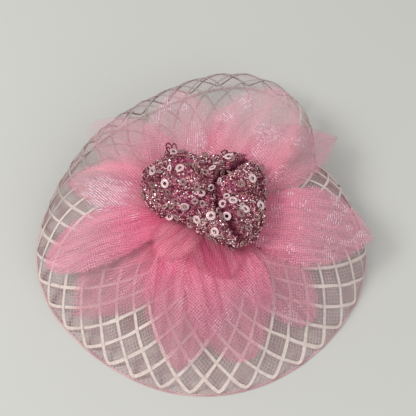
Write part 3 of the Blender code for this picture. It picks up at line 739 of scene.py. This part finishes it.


def whole_glint_patch(look, near, far, right):
    ragged = look.maths("MULTIPLY_ADD", look.streaks(0.10, 0.35), 0.7, -0.35)
    reach = look.maths("ADD", look.out, ragged)
    aside = look.remap(look.maths("ADD", look.side, ragged), right, right + 0.1)
    return look.times(look.remap(reach, near, near + 0.10), look.remap(reach, far, far - 0.08), aside)


def glints(look, threads):
    glitter, patches, strokes = look.cloth.glitter, look.cloth.patches, look.cloth.strokes
    if look.petal.name in WHOLE_GLINT_PATCH:
        patch = whole_glint_patch(look, *WHOLE_GLINT_PATCH[look.petal.name])
        stroke, slack = LONG_STROKES, LONG_SLACK
    else:
        few = 0.66 - 0.14 * glitter
        patch = look.remap(look.streaks(patches, patches, 1.3), few, few + 0.04)
        stroke, slack = STROKES[strokes], 0.0
    dash = look.remap(look.streaks(*stroke), 0.48 - slack, 0.58 - slack)
    crest = look.remap(threads[strokes], 0.35 + 2 * slack, 1.0 - slack)
    glint = look.times(patch, dash, crest, min(1.0, 0.5 + glitter) if glitter else 0.0)
    spark = look.remap(look.streaks(1.7, 1.7, 6.0), 0.68, 0.73)
    among = look.remap(look.streaks(0.09, 0.09, 3.0), 0.42, 0.58)
    return look.maths("MAXIMUM", glint, look.times(spark, among, min(1.0, 2 * glitter)))


# %% Colour, and the whole finish of a petal
def dyed(look, nearest, glint):
    """Deep at the root, with a painted highlight on the pleats and painted glints, and painted shade in
    the folds and between the threads.
    """
    rich = look.cloth.rich
    deep = SCOOP.get(look.petal.name, tuple(DEEP.lerp(SOFT, 0.35 * (1 - rich))))
    pale = SCOOP.get(look.petal.name, look.pale)
    fold = look.remap(look.streaks(0.025, 0.6), 0.52, 0.66)
    shade = look.maths("MULTIPLY_ADD", look.gathered, -0.18, 0.4)
    tone = look.blend(look.remap(look.out, 0.22, 0.75), deep, pale)
    # painted highlight along the pleats
    tone = look.blend(look.times(look.pleat, 0.25), tone, PLEAT_HIGHLIGHT)
    tone = look.blend(look.turned, tone, TURNED)
    tone = look.blend(look.times(fold, 0.1 + 0.4 * rich), tone, HOLLOW, "MULTIPLY")
    tone = look.blend(look.remap(nearest, 0.5, -0.6, 0.0, shade), tone, HOLLOW, "MULTIPLY")
    return look.blend(look.times(glint, 0.9), tone, GLINT)


def sheer(p):
    look = Fabric(p)
    solid, threads, nearest = doubled(look)
    glint = glints(look, threads)
    # the colour carries the painted glints, which also make the cloth a little more solid
    look.set(
        Base_Color=dyed(look, nearest, glint),
        Alpha=look.maths("MULTIPLY_ADD", glint, 0.5, solid, clamp=True),
        Specular_IOR_Level=0.4,
        Sheen_Weight=0.1,
        Sheen_Roughness=0.35,
    )
    look.bump(threads["along"], 0.1 * MM, 0.5)
    return look.material


petals = {p.name: petal(p, sheer(p)) for p in PETALS}

# %% [markdown]
# ## The bunched centre
# A length of beaded fabric is bunched up and stitched down along a few creases. We begin with a
# ball pressed to the size of the imported solid, mark the creases, hold them, and let the cloth
# swell between them under a little pressure. The creases stay deep, and are coloured near black
# as painted shade.

# %% The outline of the bunch and its stitched creases
PUFF_LOW, PUFF_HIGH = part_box("sequin_puff")
PUFF_MIDDLE = Vector((3 * MM, 4 * MM, (PUFF_LOW.z + PUFF_HIGH.z) / 2))
PUFF_HEIGHT = PUFF_HIGH.z - PUFF_LOW.z
PUFF_RADIUS = 25 * MM
PUFF_WAVES = ((2, 0.18, 0.58), (3, 0.10, -2.47))
LOBE_ANGLE, LOBE_SPREAD, LOBE_SHARE = math.radians(-58), 0.35, 0.10
CREASES = (  # depth of each, and its line across the top, in shares of the radius
    (1.0, ((0.66, 0.62), (0.27, 0.22), (0.04, 0.0), (-0.13, -0.18))),
    (0.5, ((-0.13, -0.18), (-0.37, -0.13), (-0.78, 0.1), (-1.0, 0.2))),
    (1.0, ((0.04, 0.0), (0.10, -0.34), (0.20, -0.51), (0.36, -0.72), (0.6, -0.98))),
    (0.35, ((0.10, -0.26), (0.29, -0.26), (0.5, -0.15), (1.0, -0.12))),
    (0.4, ((-0.13, -0.2), (-0.3, -0.53), (-0.61, -0.62), (-0.88, -0.58))),
    (0.3, ((0.04, 0.0), (-0.19, 0.22), (-0.39, 0.53), (-0.5, 0.85))),
)
CREASE_WIDTH = 0.06
CREASE_WANDER, WANDER_CLOSENESS = 0.07, 4  # the lines stray, as if gathered by hand
CREASE_SEEDS = (1.7, 8.3)
CREASE_SINK, CREASE_PINCH = 4.5 * MM, 0.1
RUFFLES = ((3.1, 0.06), (7.3, 0.05), (15.0, 0.03))  # how close they lie, and their share of the radius
SIDE_ROOM, TOP_ROOM = 0.96, 0.97  # the ball starts a little smaller, because it swells
BALL_SPLITS = 5


def puff_radius(theta):
    wave = sum(share * math.cos(turns * theta + phase) for turns, share, phase in PUFF_WAVES)
    off = math.remainder(theta - LOBE_ANGLE, 2 * math.pi) / LOBE_SPREAD
    return PUFF_RADIUS * (1 + wave + LOBE_SHARE * math.exp(-off * off))


def crease_depth(x, y):
    """1 on a crease and 0 well away from it."""
    place = Vector((WANDER_CLOSENESS * x, WANDER_CLOSENESS * y, 0))
    stray = [CREASE_WANDER * noise.noise(place + Vector((0, 0, own))) for own in CREASE_SEEDS]
    here = Vector((x + stray[0], y + stray[1]))
    deepest = 0.0
    for depth, line in CREASES:
        for a, b in zip(line, line[1:]):
            start, run = Vector(a), Vector(b) - Vector(a)
            share = min(max((here - start).dot(run) / run.length_squared, 0), 1)
            away = (here - start - run * share).length / CREASE_WIDTH
            deepest = max(deepest, depth * math.exp(-away * away))
    return deepest


# %% A ball pressed to that outline
def puff_ball(look):
    bm = bmesh.new()
    bmesh.ops.create_icosphere(bm, subdivisions=BALL_SPLITS, radius=1.0)
    mark = bm.verts.layers.float.new("crease")
    for v in bm.verts:
        unit = v.co.copy()
        top = max(unit.z, 0.0)
        depth = crease_depth(unit.x, unit.y) * min(1.0, 0.35 + top * 1.5)
        v[mark] = depth
        ruffle = sum(height * noise.noise(unit * closeness) for closeness, height in RUFFLES)
        pinch = CREASE_PINCH * depth * (1 - top)
        size = puff_radius(math.atan2(unit.y, unit.x)) * (SIDE_ROOM - pinch + ruffle)
        level = unit.z * PUFF_HEIGHT / 2 * (TOP_ROOM + ruffle)
        v.co = PUFF_MIDDLE + Vector((unit.x * size, unit.y * size, level - CREASE_SINK * depth * top))
    return finished("beaded_puff", bm, look)


# %% Let the cloth swell between its stitches
SWELL_REACH, SWELL_FRAMES = 1.2 * MM, 20
PRESSURE, SHRINKING = 4.0, -0.08  # under 0 the cloth grows
STITCHED_FROM, FLAT_BASE = 0.45, 2 * MM  # how deep a crease is held, and the height of the base


def swell(obj):
    """Runs the cloth under a little pressure, held along its creases, and keeps what it becomes."""
    stitched = obj.vertex_groups.new(name="stitched")
    for v, mark in zip(obj.data.vertices, obj.data.attributes["crease"].data):
        if mark.value > STITCHED_FROM or v.co.z < PUFF_LOW.z + FLAT_BASE:
            stitched.add([v.index], 1.0, "REPLACE")
    cloth = obj.modifiers.new("swell", "CLOTH")
    cloth.settings.vertex_group_mass = "stitched"
    cloth.settings.use_pressure = True
    cloth.settings.uniform_pressure_force = PRESSURE
    cloth.settings.shrink_min = SHRINKING
    cloth.settings.effector_weights.gravity = 0
    for step in range(1, SWELL_FRAMES + 1):
        bpy.context.scene.frame_set(step)
    swollen = obj.evaluated_get(bpy.context.evaluated_depsgraph_get()).data.vertices
    moves = [after.co - before.co for before, after in zip(obj.data.vertices, swollen)]
    obj.modifiers.remove(cloth)
    obj.vertex_groups.clear()
    bpy.context.scene.frame_set(1)
    for v, move in zip(obj.data.vertices, moves):
        v.co += move * min(1.0, SWELL_REACH / max(move.length, 1e-9))
    print("the cloth moved up to", round(max(m.length for m in moves) / MM, 2), "mm")


# %% The fabric of the centre
puff_look = Look("bunched plum fabric", (0.30, 0.07, 0.15), 0.55)
mottle = puff_look.noise(420.0)
plum = puff_look.remap(puff_look.noise(55.0, 1.0), 0.42, 0.62)
cloth_tone = puff_look.blend(plum, (0.15, 0.03, 0.045), (0.30, 0.01, 0.09))
cloth_tone = puff_look.blend(puff_look.remap(mottle, 0.3, 0.7, 0, 0.22), cloth_tone, (0.56, 0.24, 0.28))
# painted shade: the creases are coloured near black
crease_shade = puff_look.remap(puff_look.mark("crease"), 0.25, 0.85)
puff_look.set(Base_Color=puff_look.blend(crease_shade, cloth_tone, (0.10, 0.001, 0.022)), Sheen_Weight=0.05)
puff_look.bump(mottle, 0.4 * MM, 0.6)
puff = puff_ball(puff_look.material)
swell(puff)

# %% [markdown]
# ## Beads and sequins
# Seed beads and ring sequins cover the cloth. One of each is modelled with few faces, and copies
# are set on the cloth where random points, kept apart from one another, fall. A bead stands on the
# cloth along its normal.

# %% Random places on the cloth
random.seed(7)
TRIES = 6  # random points for each place wanted
UNDERSIDE = -0.35  # faces that look down more than this stay bare
AROUND = tuple(product((-1, 0, 1), repeat=3))  # steps from a cell to itself and to those round it


def cloth_places(obj, count, apart, keep):
    """(point, normal, crease) of places on the cloth, that far apart, where keep allows one."""
    mesh = obj.data
    marks = mesh.attributes["crease"].data
    faces = [f for f in mesh.polygons if f.normal.z > UNDERSIDE]
    weights = [f.area for f in faces]
    taken, found = {}, []
    for face in random.choices(faces, weights, k=count * TRIES):
        corners = [mesh.vertices[i].co for i in face.vertices]
        u, v = random.random(), random.random()
        if u + v > 1:
            u, v = 1 - u, 1 - v
        point = corners[0] + (corners[1] - corners[0]) * u + (corners[2] - corners[0]) * v
        mark = marks[face.vertices[0]].value
        x, y, z = (math.floor(c / apart) for c in point)
        cells = ((x + i, y + j, z + k) for i, j, k in AROUND)
        near = [taken[cell] for cell in cells if cell in taken]
        if not keep(point, mark) or any((point - other).length < apart for other in near):
            continue
        taken[x, y, z] = point
        found.append((point, face.normal.copy(), mark))
        if len(found) == count:
            break
    return found


def scattered(name, template, places, look, shines, smooth=True):
    """Copies of one small mesh at those matrices, as one object. Each copy is marked with its shine."""
    bm = bmesh.new()
    for matrix in places:
        copy = template.copy()
        copy.transform(matrix)
        bm.from_mesh(copy)
        bpy.data.meshes.remove(copy)
    mark = bm.verts.layers.float.new("shine")
    for i, v in enumerate(bm.verts):
        v[mark] = shines[i // len(template.vertices)]
    return finished(name, bm, look, smooth)


def facing(direction):
    return direction.to_track_quat("Z", "Y").to_matrix()


def standing(point, normal, lift, size, tilt):
    lean = Vector((random.uniform(-tilt, tilt), random.uniform(-tilt, tilt), 0))
    spin = Matrix.Rotation(random.uniform(0, 2 * math.pi), 4, "Z")
    turn = facing(normal + lean).to_4x4() @ spin
    return Matrix.Translation(point + normal * lift) @ turn @ Matrix.Scale(size, 4)


# %% The two small shapes
def bead_mesh(radius):
    bm = bmesh.new()
    bmesh.ops.create_icosphere(bm, subdivisions=1, radius=radius)
    bmesh.ops.scale(bm, vec=(1, 1, 0.8), verts=bm.verts)
    return as_mesh("bead", bm)


def ring_mesh(radius, hole, thickness, sides):
    """A ring sequin: a flat ring with two raised lips and a groove between them, spun from its profile."""
    bm = bmesh.new()
    lip, half = thickness / 3, thickness / 2
    profile = (
        (hole, -half), (radius - lip, -half), (radius, 0), (radius - lip, half),
        ((radius + hole) / 2, 0), (hole + lip, half), (hole, 0),
    )
    corners = [bm.verts.new((r, 0, z)) for r, z in profile]
    edges = [bm.edges.new((a, b)) for a, b in zip(corners, corners[1:] + corners[:1])]
    bmesh.ops.spin(
        bm, geom=corners + edges, axis=(0, 0, 1), cent=(0, 0, 0), angle=2 * math.pi, steps=sides,
        use_merge=True,
    )
    bmesh.ops.recalc_face_normals(bm, faces=bm.faces)
    return as_mesh("ring", bm)


# %% Finishes of beads and sequins
bead_look = Look("glass seed beads", (0.45, 0.30, 0.28), 0.18, 0.5)
bead_shine = bead_look.mark("shine")
# the palest beads, near white, are a painted highlight; the rest of the spread is the beads' own mixed
# colours
dull, pale = bead_look.remap(bead_shine, 0.2, 0.85), bead_look.remap(bead_shine, 0.80, 0.90)
bead_tone = bead_look.blend(dull, (0.18, 0.006, 0.036), (0.92, 0.44, 0.46))
bead_tone = bead_look.blend(pale, bead_tone, (1.0, 0.90, 0.88))
bead_tone = bead_look.blend(bead_look.remap(bead_shine, 0.05, 0.25), (0.13, 0.002, 0.026), bead_tone)
bead_look.set(
    Base_Color=bead_tone, Roughness=bead_look.remap(bead_shine, 0.0, 1.0, 0.44, 0.12), Coat_Weight=0.25,
)
ring_look = Look("ring sequin", (0.86, 0.68, 0.66), 0.25, 0.3)
cloud = ring_look.maths("MULTIPLY_ADD", ring_look.noise(500.0), 0.3, -0.15)
cloudy = ring_look.maths("ADD", ring_look.mark("shine"), cloud)
ring_look.set(
    Base_Color=ring_look.blend(ring_look.remap(cloudy, 0.1, 0.8), (0.34, 0.18, 0.17), (0.86, 0.62, 0.63)),
    Roughness=ring_look.remap(cloudy, 0.0, 1.0, 0.42, 0.26),
    Coat_Weight=0.2,
)

# %% Set them on the cloth
BEAD_RADIUS, BEAD_APART, BEAD_LIFT = 0.38 * MM, 0.64 * MM, 0.25 * MM
MOST_BEADS = 8000
BARE_X, BARE_Y, BARE_RADIUS = -0.38, 0.40, 0.36  # where plum cloth shows between the beads
IN_CREASE = 0.6  # how deep a crease has fewer beads and no rings
BARE_SHARE, CREASE_SHARE = 0.2, 0.7  # of the beads that are left there
BEAD_TILT, RING_TILT = 0.5, 0.6
SMALL_RING = (1.85 * MM, 0.78 * MM, 0.34 * MM, 14)  # radius, hole, thickness and sides
RINGS, RING_APART, RING_LIFT = 84, 3.1 * MM, 0.9 * MM


def bead_here(point, mark):
    across = (point - PUFF_MIDDLE) / PUFF_RADIUS
    bare = math.hypot(across.x - BARE_X, across.y - BARE_Y) < BARE_RADIUS
    return random.random() < (BARE_SHARE if bare else 1.0) * (CREASE_SHARE if mark > IN_CREASE else 1.0)


seeds = cloth_places(puff, MOST_BEADS, BEAD_APART, bead_here)
seed_places = [standing(p, n, BEAD_LIFT, 0.8 + 0.8 * random.random() ** 3, BEAD_TILT) for p, n, _ in seeds]
# beads deep in a crease get a lower mark and so a darker tone: painted shade
seed_shine_and_shade = [random.random() * (1 - 0.85 * mark) for _, _, mark in seeds]
bead = bead_mesh(BEAD_RADIUS)
beads = scattered("seed_beads", bead, seed_places, bead_look.material, seed_shine_and_shade, smooth=False)
spots = cloth_places(puff, RINGS, RING_APART, lambda p, mark: mark < IN_CREASE)
spot_places = [standing(p, n, RING_LIFT, random.uniform(0.84, 1.04), RING_TILT) for p, n, _ in spots]
spot_shines = [random.random() ** 3 for _ in spots]
small_ring = ring_mesh(*SMALL_RING)
small_rings = scattered("small_ring_sequins", small_ring, spot_places, ring_look.material, spot_shines)
print(len(seeds), "seed beads and", len(spots), "small rings")


# %% The larger ring sequins, each where the frame has one
LARGE_RING = (2.1 * MM, 0.85 * MM, 0.45 * MM, 20)  # radius, hole, thickness and sides
BEAD_BED = 0.75 * MM
FEET, ABOVE = 12, 0.02  # where the ring feels for the cloth: places round it, and metres above it


def ring_at_node(name):
    """A finer ring over the place of that packed ring, laid flat on the beads under its lips."""
    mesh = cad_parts[name].data
    middle = sum((v.co for v in mesh.vertices), Vector()) / len(mesh.vertices)
    outward = max((f for f in mesh.polygons if f.normal.z > 0), key=lambda f: f.area).normal
    feet = []
    for i in range(FEET):
        angle = math.radians(360 * i / FEET)
        arm = facing(outward) @ Vector((math.cos(angle), math.sin(angle), 0))
        hit, foot, _, _ = puff.ray_cast(middle + arm * LARGE_RING[0] + outward * ABOVE, -outward)
        if hit:
            feet.append(foot)
    centre = sum(feet, Vector()) / len(feet)
    arms = [foot - centre for foot in feet]
    normal = sum((a.cross(b) for a, b in zip(arms, arms[1:] + arms[:1])), Vector()).normalized()
    level = BEAD_BED + 0.5 * max(arm.dot(normal) for arm in arms)
    return Matrix.Translation(centre + normal * level) @ facing(normal).to_4x4()


large_ring = ring_mesh(*LARGE_RING)
large_rings = {}
for name in sorted(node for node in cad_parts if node.startswith("ring_sequin")):
    place, shine = ring_at_node(name), random.uniform(0.6, 1)
    large_rings[name] = scattered(name + "_faceted", large_ring, [place], ring_look.material, [shine])

# %% [markdown]
# Here and there the thread that holds the beads stands up in a small loop.

# %% Loops of beads at the edge of the bunch
BEAD_LOOPS = (  # place across the bunch, in shares of its radius, and the loop's height in mm
    (-0.74, 0.86, 5.2), (-0.66, 0.92, 3.8), (-0.80, 0.80, 3.2), (1.16, 0.16, 4.4), (1.14, 0.04, 3.0),
)
LOOP_LENGTH, LOOP_HALF_WIDTH = 2.4, 0.26  # in shares of its height
LOOP_BEAD_SIZE, LOOP_TILT = 1.15, 0.3


def bead_loop(x, y, height):
    _, foot, normal, _ = puff.closest_point_on_mesh(PUFF_MIDDLE + Vector((x, y, 0.3)) * PUFF_RADIUS)
    rising = (normal + Vector((0, 0, 0.6))).normalized()
    aside = rising.cross(Vector((0, 0, 1))).normalized()
    count = round(height * MM * LOOP_LENGTH / (2 * BEAD_RADIUS))
    for i in range(count):
        turn = 2 * math.pi * i / count
        here = rising * (1 - math.cos(turn)) / 2 + aside * LOOP_HALF_WIDTH * math.sin(turn)
        yield standing(foot + here * height * MM, rising, 0, LOOP_BEAD_SIZE, LOOP_TILT)


loop_places = [matrix for loop in BEAD_LOOPS for matrix in bead_loop(*loop)]
loop_shines = [0.0] * len(loop_places)
bead_loops = scattered("bead_loops", bead, loop_places, bead_look.material, loop_shines)

# %% [markdown]
# ## Clip, felt and core
# The rigid nodes keep their shape and get a real finish. Nickel plate is a smooth metal with faint
# cloudiness and fine scratches. Felt is a matt mat of short fibres.

# %% Finishes of the hidden parts
nickel = Look("nickel plate", (0.62, 0.60, 0.57), 0.24, 1.0)
haze = nickel.noise(260.0, 4.0)
nickel.set(
    Base_Color=nickel.blend(nickel.remap(haze, 0.3, 0.7), (0.55, 0.53, 0.50), (0.72, 0.70, 0.67)),
    Roughness=nickel.remap(haze, 0.3, 0.7, 0.18, 0.34),
)
steel = Look("spring wire", (0.40, 0.40, 0.42), 0.3, 1.0)
steel.set(Roughness=steel.remap(steel.noise(900.0), 0.3, 0.7, 0.22, 0.42))

felt = Look("pink felt", (0.72, 0.28, 0.38), 0.95)
fibres = felt.noise(1500.0, 6.0)
felt.set(
    Base_Color=felt.blend(felt.remap(fibres, 0.3, 0.7), (0.60, 0.20, 0.30), (0.82, 0.40, 0.48)),
    Sheen_Weight=0.5,
)
felt.bump(fibres, 0.35 * MM, 0.8)

thread = Look("sewing thread", (0.80, 0.50, 0.55), 0.7)
plies = {"Vector": thread.place(), "Scale": 700.0}
twist = thread.node("TexWave", plies, bands_direction="DIAGONAL").outputs["Fac"]
thread.set(Base_Color=thread.blend(twist, (0.66, 0.36, 0.42), (0.88, 0.62, 0.66)), Sheen_Weight=0.3)
thread.bump(twist, 0.1 * MM, 0.6)

NODE_LOOKS = {
    "clip_top_blade": nickel, "clip_jaw": nickel, "clip_pin": nickel,
    "felt_pad": felt, "flower_core": felt, "gather_cord": thread,
    **{f"clip_stitch_{i}": thread for i in range(1, 5)},
}
for node, look in NODE_LOOKS.items():
    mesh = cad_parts[node].data
    mesh.materials.clear()
    mesh.materials.append(look.material)
print(len(NODE_LOOKS), "packed nodes have a new finish")

# %% [markdown]
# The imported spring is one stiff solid, but a real one winds up when the jaw opens: its lower leg
# turns with the jaw round the pin. So its coil and that leg are two pieces of round wire, each on
# its own body. They overlap along a short arc of the coil, which hides the join in every pose.

# %% The coil and the loose leg of the torsion spring
PIN = Vector((-13, 0, 3.5)) * MM
WIRE, LEG_WIRE = 0.3 * MM, 0.29 * MM
COIL_RADIUS, COIL_PITCH, COIL_TURNS, COIL_STEPS = 1.6 * MM, 0.9 * MM, 2.5, 36
COIL_HALF = COIL_PITCH * COIL_TURNS / 2


def coil_point(turn):
    angle = math.pi / 2 - 2 * math.pi * turn
    along = turn * COIL_PITCH - COIL_HALF
    return PIN + Vector((COIL_RADIUS * math.cos(angle), along, COIL_RADIUS * math.sin(angle)))


def spring_wire(name, radius, points):
    obj = thread_curve(name, radius, steel.material, resolution=3)
    thread_line(obj.data, points)
    return obj


turns = [i / COIL_STEPS for i in range(round(COIL_TURNS * COIL_STEPS) + 1)]
upper_leg = [PIN + Vector((x * MM, -COIL_HALF, z * MM)) for x, z in ((-10, 2.3), (-1.6, 2.1))]
spring_coil = spring_wire("spring_coil", WIRE, upper_leg + [coil_point(turn) for turn in turns])
lower_leg = [PIN + Vector((x * MM, COIL_HALF, z * MM)) for x, z in ((-3.1, -2.1), (-10, -5.17))]
spring_leg = spring_wire("spring_leg", LEG_WIRE, [coil_point(turn) for turn in turns[-4:]] + lower_leg)
print("spring of", COIL_TURNS, "turns")

# %% [markdown]
# ## Stage, light and camera
# The headpiece lies on a plain pale floor. Big soft lamps keep the net's shadows gentle, and the
# main one stands on the left, as a window does. The camera looks down from the front.

# %% Floor
FLOOR_SIZE = 6.0
floor_look = Look("pale floor", (0.56, 0.56, 0.52), 0.9)
floor_bm = bmesh.new()
bmesh.ops.create_grid(floor_bm, x_segments=1, y_segments=1, size=FLOOR_SIZE / 2)
bmesh.ops.translate(floor_bm, vec=(0, 0, CAD_BOX[0][2] - 0.2 * MM), verts=floor_bm.verts)
floor = finished("floor", floor_bm, floor_look.material, smooth=False)
floor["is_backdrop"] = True


# %% Lamps
def lamp(name, place, size, power, colour=(1, 1, 1)):
    """A soft square lamp that points at the middle of the frame."""
    data = bpy.data.lights.new(name, "AREA")
    data.size = size
    data.energy = power
    data.color = colour
    obj = placed(name, data)
    obj.location = place
    obj.rotation_euler = (-Vector(place)).to_track_quat("-Z", "Y").to_euler()


lamp("window", (-0.60, -0.10, 0.75), 0.35, 5.4, (1.0, 0.99, 0.97))
lamp("room", (0.6, -0.5, 0.7), 0.8, 3.0)
world = bpy.data.worlds.new("soft room")
bpy.context.scene.world = world
world.use_nodes = True
background = world.node_tree.nodes["Background"]
background.inputs["Color"].default_value = (0.95, 0.96, 1.0, 1.0)
background.inputs["Strength"].default_value = 0.55
bpy.context.scene.view_settings.view_transform = "Standard"

# %% Camera
ELEVATION = math.radians(64)
DISTANCE = 0.52
TARGET = Vector((1.9, 8.5, 4.2)) * MM
camera_data = bpy.data.cameras.new("camera")
camera_data.lens = 95
camera = placed("camera", camera_data)
camera.location = TARGET + Vector((0, -math.cos(ELEVATION), math.sin(ELEVATION))) * DISTANCE
camera.rotation_euler = (math.pi / 2 - ELEVATION, 0, 0)
bpy.context.scene.camera = camera

# %% [markdown]
# ## What moves with what
# Only the jaw of the hair clip moves, with the loose leg of its spring. All the soft pieces ride
# on the headpiece, and each stands for its plain solid in the frame.

# %% Ride and replaced nodes
def dress(piece, slot, *nodes, body="headpiece"):
    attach(piece, body)
    if nodes:
        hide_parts(*nodes)


dress(warp, "crin_net", "crin_net")
dress(weft, "crin_net")
dress(edge, "crin_net")
dress(ribbons, "crin_ribbon", "crin_ribbons")
for p in PETALS:
    dress(petals[p.name], "sheer_petal", p.name)
dress(puff, "sequin_fabric", "sequin_puff")
for piece in (beads, bead_loops, small_rings):
    dress(piece, "sequin")
for name, ring in large_rings.items():
    dress(ring, "sequin", name)
dress(spring_coil, "spring_steel", "clip_spring")
dress(spring_leg, "spring_steel", body="jaw")

LEAF_STEPS = 40
for p in PETALS:
    halves = sum(petal_half(p, (i + 0.5) / LEAF_STEPS) for i in range(LEAF_STEPS))

# %% Keep the two boxes
VISUAL_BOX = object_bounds()
boxes = {"cad": CAD_BOX, "visual": VISUAL_BOX}
{name: [list(map(float, corner)) for corner in box] for name, box in boxes.items()}
